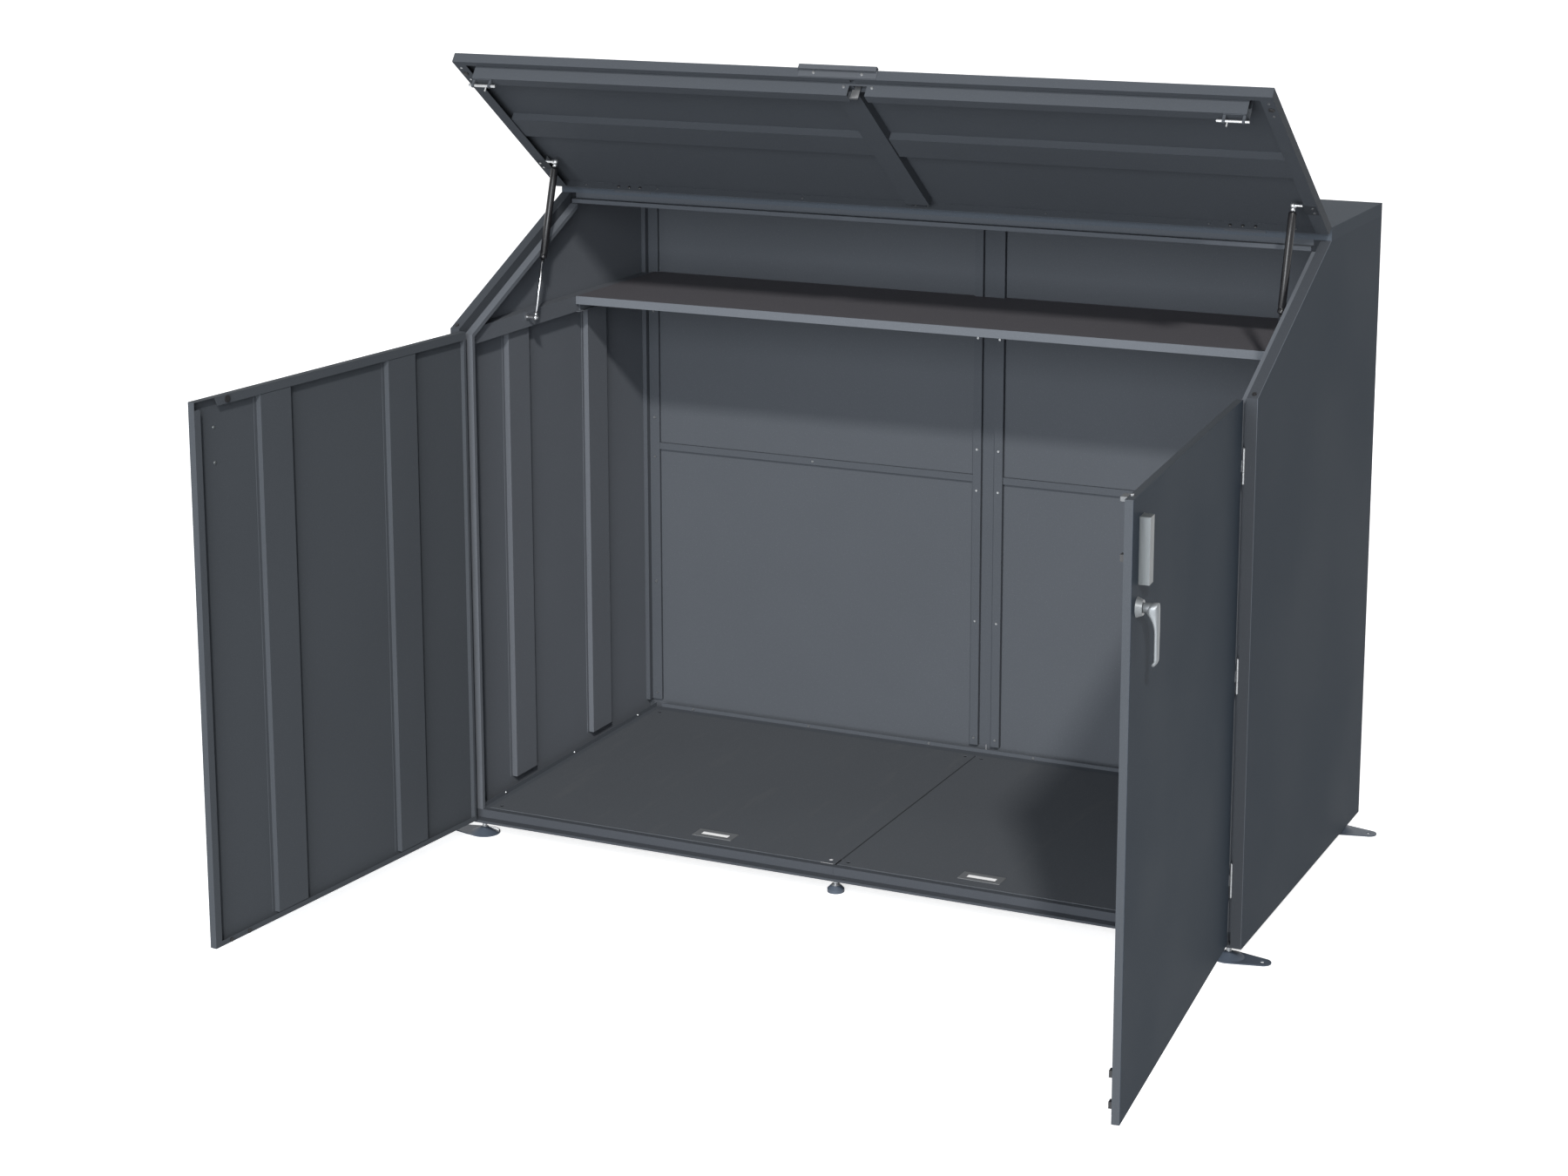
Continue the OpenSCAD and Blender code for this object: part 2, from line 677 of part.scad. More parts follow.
// Butt hinges: the wall's leaf has the two outer knuckles and the pin, the door's leaf
// the middle one
leaf_t = 1.2;
hinge_x = rebate_x - door_hinge_gap / 2;
knuckle = door_hinge_len / 3;
hinge_zs = [for (i = [0:2]) door_hinge_z + i * door_hinge_pitch];
module door_wall_leaf() {
    h = door_hinge_len / 2;
    union() {
        difference() {
            union() {
                box([rebate_x - leaf_t, slack, -h], [rebate_x, rebate_d - 2, h]);
                for (z0 = [-h, h - knuckle + 0.3])
                    box([rebate_x - leaf_t, -hinge_front, z0], [rebate_x, 1, z0 + knuckle - 0.3]);
                for (z0 = [-h, h - knuckle + 0.3])
                    translate([hinge_x, -hinge_front, 0]) bar_z(door_barrel_r, z0, z0 + knuckle - 0.3);
            }
            translate([rebate_x, rebate_d / 2, -h / 2 - 11]) rotate([0, 90, 0])
                translate([0, 0, -4]) cylinder(r = 2.5, h = 8);
            translate([rebate_x, rebate_d / 2, h / 2 + 11]) rotate([0, 90, 0])
                translate([0, 0, -4]) cylinder(r = 2.5, h = 8);
        }
        translate([hinge_x, -hinge_front, 0]) bar_z(pin_d / 2, -h - 1, h + 1);
    }
}
module lid_roof_leaf() {
    h = lid_hinge_len / 2;
    k = lid_hinge_len / 4;
    union() {
        box([-h, roof_front - leaf_t, hinge_z - 19], [h, roof_front, hinge_z - lid_barrel_r - 1]);
        for (x0 = [-h, h - k]) {
            box([x0, roof_front - leaf_t, hinge_z - 19], [x0 + k, roof_front, hinge_z]);
            translate([0, hinge_y, hinge_z]) bar_x(lid_barrel_r, x0, x0 + k);
        }
        translate([0, hinge_y, hinge_z]) bar_x(lid_pin_r, -h, h);
    }
}
lid_pin_r = 1.2;
lid_hinge_x = hw - lid_hinge_in;
module fixed_hinge_leaves() {
    color(paint) shed() both_sides() {
        for (z = hinge_zs) translate([0, 0, z]) door_wall_leaf();
        translate([lid_hinge_x, 0, 0]) lid_roof_leaf();
    }
}

// Lid points are given as s, the distance from the hinge, and n, the depth below the top
function lid_points(points) = [for (p = points) [-p[0], lid_rise - p[1]]];
module on_lid() {
    shed() translate([0, hinge_y, hinge_z]) rotate([-lid_open, 0, 0]) children();
}
// Place on the lid where X, Y and Z run as they do with the lid closed
module on_closed_lid() { on_lid() rotate([-slope, 0, 0]) children(); }
module lid_box(x0, x1, s0, s1, n0, n1) {
    box([x0, -s1, lid_rise - n1], [x1, -s0, lid_rise - n0]);
}
rear_face = lid_barrel_r + 0.9;
lid_s0 = (rear_face - lid_rise * sin(slope)) / cos(slope);
rear_flange = 27;
module lid_panel() {
    s_lip = lid_s0 + lid_depth * tan(slope);
    rod_s = (hinge_y - rod_back - (lid_rise - lid_depth) * sin(slope)) / cos(slope);
    color(paint) on_lid() union() {
        lid_box(-hw, hw, lid_s0, lid_len, 0, sheet);
        lid_box(-hw, hw, lid_len - sheet, lid_len, 0, lid_depth);
        // Front lip, notched for the door's lock rod
        difference() {
            lid_box(-hw, hw, lid_len - lid_front_lip, lid_len, lid_depth - sheet, lid_depth);
            lid_box(rod_x - 6, rod_x + 6, rod_s - 8, rod_s + 6, lid_depth - 2, lid_depth + 1);
        }
        both_sides() {
            along_x(lid_points([[lid_s0, 0], [lid_len, 0], [lid_len, lid_depth],
                                [s_lip, lid_depth]]), hw - sheet, hw);
            lid_box(hw - lid_side_lip, hw, s_lip, lid_len, lid_depth - sheet, lid_depth);
        }
        along_x(lid_points(folded([[lid_s0, 0], [lid_s0 + rear_flange * sin(slope),
                                                 rear_flange * cos(slope)]], -sheet)), -hw, hw);
    }
}

// Window in the front channel for the bracket of the door's lock rod
window_x = door_gap / 2 + rod_in + 11;
window_w = 43;
window_n = 28;
module lid_front_channel() {
    color(paint) on_lid() difference() {
        along_x(lid_points(folded([[channel_s1, sheet], [channel_s1, channel_h],
                                   [channel_s0, channel_h], [channel_s0, sheet]], sheet)),
                -hw + channel_in, hw - channel_in);
        lid_box(window_x - window_w / 2, window_x + window_w / 2, channel_s0 - 1, channel_s1 + 1,
                window_n, channel_h + 1);
        lid_box(-centre_rib_w / 2 - 1, centre_rib_w / 2 + 1, channel_s0 - 1, channel_s0 + 4,
                -1, lid_depth + 1);
    }
}
module lid_ribs() {
    s0 = cross_rib_s - cross_rib_w / 2;
    s1 = cross_rib_s + cross_rib_w / 2;
    c = centre_rib_w / 2;
    color(paint) on_lid() {
        both_sides()
        along_x(lid_points(folded([[s1, sheet], [s1, cross_rib_h], [s0, cross_rib_h],
                                   [s0, sheet]], sheet)), c + 1, hw - 26);
        along_y(folded([[-c, lid_rise - sheet], [-c, lid_rise - lid_depth],
                        [c, lid_rise - lid_depth], [c, lid_rise - sheet]], sheet),
                -channel_s1 + sheet + 1, -34);
    }
}

lid_handle_out = 11;
lid_handle_top = -4;
module lid_handle() {
    color(steel) on_lid()
    along_x(lid_points(folded([[lid_len, lid_depth - 2], [lid_len, lid_handle_top],
                               [lid_len + lid_handle_out, lid_handle_top],
                               [lid_len + lid_handle_out, lid_handle_top + 12]], rail_sheet)),
            -lid_handle_w / 2, lid_handle_w / 2);
}

// Tongue in the window, with a narrow neck beside the centre rib
tongue_w = 19;
tongue_s = channel_s1 - 20;
tongue_neck = lid_depth + 3;
module lid_tongue() {
    x0 = door_gap / 2 + rod_in - tongue_w / 2;
    color(steel) on_lid() union() {
        lid_box(centre_rib_w / 2 + slack, x0 + tongue_w, tongue_s, tongue_s + rail_sheet,
                sheet, tongue_neck + 1);
        along_x(lid_points(folded([[tongue_s, tongue_neck], [tongue_s, channel_h - 2],
                                   [tongue_s + 7, channel_h - 2]], -rail_sheet)),
                x0, x0 + tongue_w);
    }
}

lid_buffer_s = lid_len - 53;
module lid_buffers() {
    color(black) on_lid() both_sides()
    translate([hw - 13, -lid_buffer_s, lid_rise - lid_depth - 3.4])
        cylinder(r1 = 6, r2 = 7, h = 3.4);
}

strut_n = 22;
ear_x = hw - lid_side_lip - 1.5;
module lid_strut_studs() {
    s0 = strut_s - 33;
    color(paint) on_lid() both_sides() union() {
        lid_box(ear_x - 2, hw - 4, s0, strut_s + 8, lid_depth, lid_depth + 1.8);
        lid_box(ear_x - 2, ear_x, strut_s - 8, strut_s + 8, 12, lid_depth + 1.8);
        translate([0, -strut_s, lid_rise - strut_n]) {
            bar_x(stud_pin_r, strut_x + eye_w / 2 + 0.6, ear_x - 1);
            bar_x(strut_ball_d / 2, strut_x + eye_w / 2 + 0.6, strut_x + eye_w / 2 + 4);
        }
    }
}

module lid_hinge_leaves() {
    h = lid_hinge_len / 2;
    k = lid_hinge_len / 4 + 0.3;
    color(paint) on_closed_lid() both_sides() translate([lid_hinge_x, 0, 0]) difference() {
        union() {
            box([-h, -rear_face, -22], [h, -rear_face + leaf_t, -lid_barrel_r - 1]);
            box([-h + k, -rear_face, -22], [h - k, -rear_face + leaf_t, 0]);
            bar_x(lid_barrel_r, -h + k, h - k);
        }
        bar_x(lid_pin_r + pin_slack, -h, h);
    }
}

hinge_screw_pitch = 30;
rivet_xs = [16, 316, 716, 920];
module lid_screws() {
    color(steel) {
        on_closed_lid() both_sides() {
            for (i = [-1:1])
                translate([lid_hinge_x + i * hinge_screw_pitch, -rear_face - sheet, -14])
                    rotate([90, 0, 0]) screw_head();
            for (x = rivet_xs)
                translate([x, -rear_face - sheet, -14]) rotate([90, 0, 0])
                    cylinder(r = 2.5, h = 1.2);
        }
        on_lid() {
            both_sides() {
                for (s = [lid_buffer_s - 26, lid_buffer_s + 26])
                    translate([hw - 13, -s, lid_rise - lid_depth - 1.4]) cylinder(r = 3, h = 1.4);
                for (s = [strut_s - 25, strut_s - 4])
                    translate([hw - 12, -s, lid_rise - lid_depth - 1.8 - 1.4]) cylinder(r = 3, h = 1.4);
                translate([59, -lid_len - rail_sheet, lid_rise - 12]) rotate([90, 0, 0]) screw_head();
            }
            for (x = [window_x - 34.5, window_x + 34.5])
                translate([x, -channel_s1, lid_rise - 32]) rotate([90, 0, 0]) screw_head();
        }
    }
}

bolt_x0 = hw - channel_in - 2;
ear_w = 6;
bolt_ear_x = bolt_x0 - bolt_housing_len + ear_w;
bolt_tip = lip_x - 1.6;
module lid_bolt_housings() {
    color(steel) on_lid() both_sides() difference() {
        union() {
            lid_box(bolt_x0 - bolt_housing_len, bolt_x0, bolt_s - 6, bolt_s + 6, channel_h,
                    channel_h + 1.5);
            for (x = [bolt_x0, bolt_ear_x]) {
                lid_box(x - ear_w, x, bolt_s - 4, bolt_s + 4, channel_h, bolt_n);
                translate([0, -bolt_s, lid_rise - bolt_n]) bar_x(bolt_d / 2 + 2, x - ear_w, x);
            }
        }
        translate([0, -bolt_s, lid_rise - bolt_n])
            bar_x(bolt_d / 2 + pin_slack, bolt_x0 - bolt_housing_len - 1, bolt_x0 + 1);
    }
}
module lid_bolt() {
    knob_x = bolt_ear_x + 5;
    translate([0, -bolt_s, lid_rise - bolt_n]) union() {
        bar_x(bolt_d / 2, bolt_x0 - bolt_housing_len - bolt_travel - 1, bolt_tip);
        translate([knob_x, 0, -14]) cylinder(r = 2, h = 14);
    }
}
module lid_bolt_right() { color(steel) on_lid() lid_bolt(); }
module lid_bolt_left() { color(steel) on_lid() other_side() lid_bolt(); }

// Gas strut between the side rail's stud and the lid's stud, drawn at its open length
top_y = hinge_y - strut_s * cos(lid_open) + (lid_rise - strut_n) * sin(lid_open);
top_z = hinge_z + strut_s * sin(lid_open) + (lid_rise - strut_n) * cos(lid_open);
strut_v = [top_y - strut_y, top_z - strut_z];
strut_l = norm(strut_v);
strut_a = atan2(strut_v[1], strut_v[0]);
shut_v = [closed_y(strut_s, strut_n) - strut_y, closed_z(strut_s, strut_n) - strut_z];
strut_shut = norm(shut_v);
eye_gap = 14;
rod_top = strut_shut - 20;
cylinder_l = strut_shut - 2 * eye_gap - 2;
cylinder_z = strut_l - eye_gap - cylinder_l;
piston_h = 6;
gland_h = 8;
bore_r = strut_d / 2 - 1.2;
module on_strut(side) {
    shed() translate([side * strut_x, strut_y, strut_z]) rotate([strut_a - 90, 0, 0]) children();
}
module strut_rod() {
    difference() {
        union() {
            bar_x(eye_r, -eye_w / 2, eye_w / 2);
            bar_z(strut_rod_d / 2, 2, rod_top);
            bar_z(bore_r - 0.1, rod_top - piston_h, rod_top);
        }
        bar_x(stud_pin_r + pin_slack, -eye_w, eye_w);
    }
}
module strut_cylinder() {
    z1 = cylinder_z + cylinder_l;
    union() {
        difference() {
            bar_z(strut_d / 2, cylinder_z, z1);
            bar_z(bore_r, cylinder_z + gland_h, z1 - 3);
            bar_z(strut_rod_d / 2 + pin_slack, cylinder_z - 1, cylinder_z + gland_h + 1);
        }
        bar_z(4, z1 - 1, strut_l);
        translate([0, 0, strut_l]) bar_x(eye_r, -eye_w / 2, eye_w / 2);
    }
}
module strut_rod_right() { color(steel) on_strut(1) strut_rod(); }
module strut_rod_left() { color(steel) on_strut(-1) strut_rod(); }
module strut_cylinder_right() { color(black) on_strut(1) strut_cylinder(); }
module strut_cylinder_left() { color(black) on_strut(-1) strut_cylinder(); }

// Doors, drawn closed and then swung open about their hinges
door_x = rebate_x - door_hinge_gap;
free_x = door_gap / 2;
door_top = front_h - door_top_gap;
lip_stop = 66;
// The free edge's lip stops short of the door's top, its corner cut off
lip_drop = 18;
lip_cut = 4;
hinge_lip = 8;
bottom_lip = 12;
module on_door() {
    shed() translate([hinge_x, -hinge_front, 0]) rotate([0, 0, door_open])
        translate([-hinge_x, hinge_front, 0]) children();
}
lever_x = free_x + lever_in;
spindle_r = 4;
module door_panel() {
    lip_x1 = free_x + door_lip;
    lip_z1 = door_top - lip_drop;
    union() {
        box([free_x, 0, door_z], [door_x, sheet, door_top]);
        for (x = [free_x, door_x - sheet])
            box([x, 0, door_z], [x + sheet, door_t, door_top]);
        for (z = [door_z, door_top - sheet])
            box([free_x, 0, z], [door_x, door_t, z + sheet]);
        box([door_x - hinge_lip, door_t - sheet, door_z], [door_x, door_t, door_top]);
        box([free_x, door_t - sheet, door_z], [door_x, door_t, door_z + bottom_lip]);
        // Top lip, its end by the free edge cut at an angle
        translate([0, door_t, 0]) rotate([90, 0, 0]) linear_extrude(sheet)
            polygon([[door_x, door_top], [free_x + lip_stop, door_top],
                     [free_x + lip_stop + door_lip / 2, door_top - door_lip],
                     [door_x, door_top - door_lip]]);
        translate([0, door_t, 0]) rotate([90, 0, 0]) linear_extrude(sheet)
            polygon([[free_x, door_z], [lip_x1, door_z], [lip_x1, lip_z1 - lip_cut],
                     [lip_x1 - lip_cut, lip_z1], [free_x, lip_z1]]);
    }
}
module door_panel_right() {
    color(paint) on_door() difference() {
        door_panel();
        translate([rod_x, rod_back, 0]) bar_z(rod_d / 2 + slack, 0, door_top + 1);
        translate([lever_x, 0, lever_z]) bar_y(spindle_r + 0.4, -1, sheet + 1);
    }
}
module door_panel_left() { color(paint) other_side() on_door() door_panel(); }

module door_ribs() {
    for (x = [door_x - door_rib_w1, free_x + door_rib_w2])
        along_z(folded([[x - door_rib_w / 2 - 10, sheet], [x - door_rib_w / 2, sheet],
                        [x - door_rib_w / 2, sheet + door_rib_h - sheet],
                        [x + door_rib_w / 2, sheet + door_rib_h - sheet],
                        [x + door_rib_w / 2, sheet], [x + door_rib_w / 2 + 10, sheet]], sheet),
                door_z + bottom_lip + 1, door_top - door_lip - 1);
}
module door_ribs_right() { color(paint) on_door() door_ribs(); }
module door_ribs_left() { color(paint) other_side() on_door() door_ribs(); }

handle_foot = 34;
module pull_handle() {
    x0 = free_x + handle_in;
    union() {
        along_z(folded([[x0 + handle_foot, 0], [x0, 0], [x0, -handle_out],
                        [x0 + handle_lip, -handle_out]], rail_sheet),
                handle_z - handle_len / 2, handle_z + handle_len / 2);
        // End plates
        for (z = [handle_z - handle_len / 2, handle_z + handle_len / 2 - rail_sheet])
            box([x0, -handle_out, z], [x0 + handle_lip, 0, z + rail_sheet]);
        // Screws through the door into the handle's foot
        for (z = [-1, 1])
            translate([x0 + handle_foot - 9, 0, handle_z + z * handle_len * 0.3]) {
                translate([0, sheet, 0]) rotate([-90, 0, 0]) screw_head();
            }
    }
}
module door_handle_right() { color(steel) on_door() pull_handle(); }
module door_handle_left() { color(steel) other_side() on_door() pull_handle(); }

module door_leaf() {
    h = door_hinge_len / 2;
    k = knuckle / 2 - 0.3;
    difference() {
        union() {
            box([door_x, slack, -h], [door_x + leaf_t, door_t - 2, h]);
            box([door_x, -hinge_front, -k], [door_x + leaf_t, 1, k]);
            translate([hinge_x, -hinge_front, 0]) bar_z(door_barrel_r, -k, k);
        }
        translate([hinge_x, -hinge_front, 0]) bar_z(pin_d / 2 + pin_slack, -h, h);
        for (z = [-1, 1])
            translate([door_x - 1, door_t / 2, z * knuckle * 0.6]) bar_x(2.2, 0, 4);
    }
}
module door_leaves() { for (z = hinge_zs) translate([0, 0, z]) door_leaf(); }
module door_hinge_leaves_right() { color(paint) on_door() door_leaves(); }
module door_hinge_leaves_left() { color(paint) other_side() on_door() door_leaves(); }

// Rubber buffers on the door's lips
top_plug_in = 106;
plugs_in = [50, 110];
module door_plugs() {
    translate([free_x + top_plug_in, 0, door_top - door_lip / 2]) bar_y(8, door_t, door_t + 3);
    for (x = plugs_in)
        translate([free_x + x, 0, door_z + bottom_lip / 2]) bar_y(5, door_t, door_t + 3);
}
module door_buffers_left() { color(black) other_side() on_door() door_plugs(); }
// The right door's buffers, with the guides of its lock rods and the bracket at its top corner
guide_over_lever = 90;
guide_zs = [28, 92, lever_z + guide_over_lever];
guide_h = 14;
guide_back = 29;
bracket_w = 30;
bracket_h = 9;
module door_buffers_right() {
    z1 = door_top - sheet;
    color(black) on_door() {
        door_plugs();
        difference() {
            union() {
                for (z = guide_zs)
                    box([rod_x - 8, sheet, z], [rod_x + 7, guide_back, z + guide_h]);
                box([rod_x - 8, sheet, z1 - 2], [rod_x - 8 + bracket_w, guide_back + 2, z1]);
                box([rod_x - 8, sheet, z1 - bracket_h], [rod_x - 6, guide_back + 2, z1]);
            }
            translate([rod_x, rod_back, 0]) bar_z(rod_d / 2 + 0.3, 0, door_top);
        }
    }
}

rosette_h = 12;
module lock_rosette() {
    color(steel) on_door() translate([lever_x, 0, lever_z]) rotate([90, 0, 0]) difference() {
        cylinder(r1 = rosette_d / 2, r2 = rosette_d / 2 - 5, h = rosette_h);
        translate([0, 0, -1]) cylinder(r = spindle_r + pin_slack, h = rosette_h + 2);
    }
}

// The cam's two pins stand diagonally and turn by a right angle, one up and one down
pin_r = 2;
pin_at = cam_r * sin(45);
cam_t = 3;
cam_y = rod_back - 5;
grip_w = 16;
grip_t = 10;
module lever() {
    color(steel) on_door() translate([lever_x, 0, lever_z]) union() {
        bar_y(10, -lever_out - grip_t / 2, -rosette_h - slack);
        bar_y(spindle_r, -rosette_h - 1, cam_y + 1);
        translate([0, -lever_out, 0]) {
            bar_y(12, -grip_t / 2, grip_t / 2);
            box([-grip_w / 2, -grip_t / 2, -lever_len + grip_w / 2], [grip_w / 2, grip_t / 2, 0]);
            translate([0, 0, -lever_len + grip_w / 2]) bar_y(grip_w / 2, -grip_t / 2, grip_t / 2 + 6);
        }
        bar_y(cam_r + pin_r + 0.4, cam_y, cam_y + cam_t);
        for (k = [-1, 1])
            translate([k * pin_at, 0, k * pin_at]) bar_y(pin_r, cam_y + cam_t - 1, rod_back + 2);
    }
}

// Forks that the cam's pins move, two fingers on each rod
finger = 4;
fork_gap = pin_r + 0.3;
fork_t = 1.5;
module fork(x0, x1, z) {
    for (z0 = [z + fork_gap, z - fork_gap - finger])
        box([x0, rod_back - fork_t, z0], [x1, rod_back + fork_t, z0 + finger]);
}
rod_joint_z = lever_z - pin_at - fork_gap - finger;
module lock_rod_top() {
    color(steel) on_door() union() {
        translate([rod_x, rod_back, 0]) bar_z(rod_d / 2, rod_joint_z, door_top + 4);
        fork(rod_x, lever_x - pin_at + pin_r, lever_z - pin_at);
    }
}
module lock_rod_bottom() {
    x1 = lever_x + cam_r + pin_r + slack;
    z1 = rod_joint_z - 2;
    color(steel) on_door() union() {
        translate([rod_x, rod_back, 0]) bar_z(rod_d / 2, door_z + 1, z1);
        fork(lever_x + pin_at - pin_r, x1 + finger, lever_z + pin_at);
        box([rod_x, rod_back - fork_t, z1 - finger], [x1 + finger, rod_back + fork_t, z1]);
        box([x1, rod_back - fork_t, z1 - finger],
            [x1 + finger, rod_back + fork_t, lever_z + pin_at + fork_gap + finger]);
    }
}

// Levelling feet, drawn from the ground up
stud_top = ground_gap + plate_t + nut_h + 1;
module foot_stud(z0) { bar_z(stud_d / 2, z0, stud_top); }
// Outline of the plate between the two circles that round its ends
tip_r = 20;
disc_r = foot_d / 2 + 3;
wrap = acos((disc_r - tip_r) / anchor_reach);
module corner_foot() {
    union() {
        translate([0, 0, anchor_t]) cylinder(r1 = foot_d / 2, r2 = 9, h = foot_h);
        foot_stud(anchor_t + 1);
    }
    difference() {
        union() {
            bar_z(disc_r, 0, anchor_t);
            translate([anchor_reach, 0, 0]) bar_z(tip_r, 0, anchor_t);
            along_z([disc_r * [cos(wrap), -sin(wrap)],
                     [anchor_reach, 0] + tip_r * [cos(wrap), -sin(wrap)],
                     [anchor_reach, 0] + tip_r * [cos(wrap), sin(wrap)],
                     disc_r * [cos(wrap), sin(wrap)]], 0, anchor_t);
        }
        translate([anchor_reach, 0, 0]) bar_z(anchor_hole_d / 2, -1, anchor_t + 1);
    }
}
module foot_at(y) { translate([foot_x_pos, y, 0]) corner_foot(); }
foot_y = shed_d / 2 - foot_in_y;
module foot_front_right() { color(paint_dark) foot_at(-foot_y); }
module foot_front_left() { color(paint_dark) other_side() foot_at(-foot_y); }
module foot_back_right() { color(paint_dark) foot_at(foot_y); }
module foot_back_left() { color(paint_dark) other_side() foot_at(foot_y); }
module foot_front_centre() {
    color(steel) translate([0, -foot_y, 0]) union() {
        cylinder(r = centre_foot_d / 2, h = 8);
        translate([0, 0, 8]) cylinder(r1 = centre_foot_d / 2, r2 = 9, h = 12);
        foot_stud(10);
    }
}

wall_right();
wall_left();
front_posts();
wall_ribs();
side_rails();
base_rails();
back_panel_right();
back_panel_left();
back_corner_posts();
back_centre_post();
back_mid_rails();
roof_cap();
header_beam();
front_sill();
floor_bearer();
base_plates();
shelf();
strut_wall_studs();
wall_buffers();
cabinet_screws();
fixed_hinge_leaves();
floor_panel_right();
floor_panel_left();
lift_plate_right();
lift_plate_left();
lid_panel();
lid_front_channel();
lid_ribs();
lid_handle();
lid_tongue();
lid_buffers();
lid_strut_studs();
lid_hinge_leaves();
lid_screws();
lid_bolt_housings();
lid_bolt_right();
lid_bolt_left();
strut_rod_right();
strut_rod_left();
strut_cylinder_right();
strut_cylinder_left();
door_panel_right();
door_panel_left();
door_ribs_right();
door_ribs_left();
door_handle_right();
door_handle_left();
door_hinge_leaves_right();
door_hinge_leaves_left();
door_buffers_right();
door_buffers_left();
lock_rosette();
lever();
lock_rod_top();
lock_rod_bottom();
foot_front_right();
foot_front_left();
foot_back_right();
foot_back_left();
foot_front_centre();
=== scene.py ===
"""Steel bike shed with open doors and a lid on gas struts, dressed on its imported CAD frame."""
import math

import bmesh
import bpy
import numpy as np
from mathutils import Euler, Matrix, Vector


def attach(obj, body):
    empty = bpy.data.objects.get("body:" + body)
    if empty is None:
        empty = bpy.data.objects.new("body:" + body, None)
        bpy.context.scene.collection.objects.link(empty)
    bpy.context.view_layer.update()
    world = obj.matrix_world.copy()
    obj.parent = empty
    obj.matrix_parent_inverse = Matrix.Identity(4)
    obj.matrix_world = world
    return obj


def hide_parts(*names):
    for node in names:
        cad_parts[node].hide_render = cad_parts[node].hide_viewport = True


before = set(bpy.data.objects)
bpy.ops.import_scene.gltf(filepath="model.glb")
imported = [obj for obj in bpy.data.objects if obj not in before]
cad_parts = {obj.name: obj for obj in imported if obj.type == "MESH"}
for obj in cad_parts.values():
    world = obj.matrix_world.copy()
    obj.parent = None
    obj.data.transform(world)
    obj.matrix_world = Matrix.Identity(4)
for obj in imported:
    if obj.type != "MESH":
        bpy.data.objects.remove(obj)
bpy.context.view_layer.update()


# Side walls and back: 1.2 mm steel sheet, folded round its edges, sprayed with a fine
# textured anthracite powder paint and baked. The panels are screwed to each other and to
# the posts behind their joints.
class Shade:
    """A socket of a material, whose arithmetic adds Math nodes to the material."""

    def __init__(self, tree, socket):
        self.tree, self.socket = tree, socket

    def node(self, kind, settings=(), inputs=(), out=0):
        """Adds a node of the kind, sets its settings and inputs, and gives one output."""
        made = self.tree.nodes.new(kind)
        for key, value in dict(settings).items():
            setattr(made, key, value)
        for key, value in dict(inputs).items():
            if isinstance(value, Shade):
                self.tree.links.new(value.socket, made.inputs[key])
            else:
                made.inputs[key].default_value = value
        return Shade(self.tree, made.outputs[out])

    def math(self, operation, first, second=0.0, clamp=False):
        """One Math node."""
        return self.node("ShaderNodeMath", {"operation": operation, "use_clamp": clamp},
                         {0: first, 1: second})

    def __add__(self, other):
        return self.math("ADD", self, other)

    def __radd__(self, other):
        return self.math("ADD", other, self)

    def __sub__(self, other):
        return self.math("SUBTRACT", self, other)

    def __rsub__(self, other):
        return self.math("SUBTRACT", other, self)

    def __mul__(self, other):
        return self.math("MULTIPLY", self, other)

    def __rmul__(self, other):
        return self.math("MULTIPLY", other, self)

    def __truediv__(self, other):
        return self.math("DIVIDE", self, other)

    def __rtruediv__(self, other):
        return self.math("DIVIDE", other, self)

    def __gt__(self, other):
        return self.math("GREATER_THAN", self, other)

    def __lt__(self, other):
        return self.math("LESS_THAN", self, other)

    def __abs__(self):
        return self.math("ABSOLUTE", self)

    def ramp(self, low, high, to_low=0.0, to_high=1.0):
        """The value mapped smoothly from one range to another."""
        return self.node("ShaderNodeMapRange", {"interpolation_type": "SMOOTHSTEP"},
                         {"Value": self, "From Min": low, "From Max": high,
                          "To Min": to_low, "To Max": to_high})

    def mix(self, first, second):
        """A colour between two colours, with this value as the share of the second."""
        first, second = (colour if isinstance(colour, Shade) else (*colour, 1.0)
                         for colour in (first, second))
        return self.node("ShaderNodeMix", {"data_type": "RGBA"},
                         {"Factor": self, 6: first, 7: second}, out=2)

    def times(self, value):
        """A colour or vector, all three parts multiplied by one value."""
        return self.node("ShaderNodeVectorMath", {"operation": "SCALE"},
                         {0: self, "Scale": value})


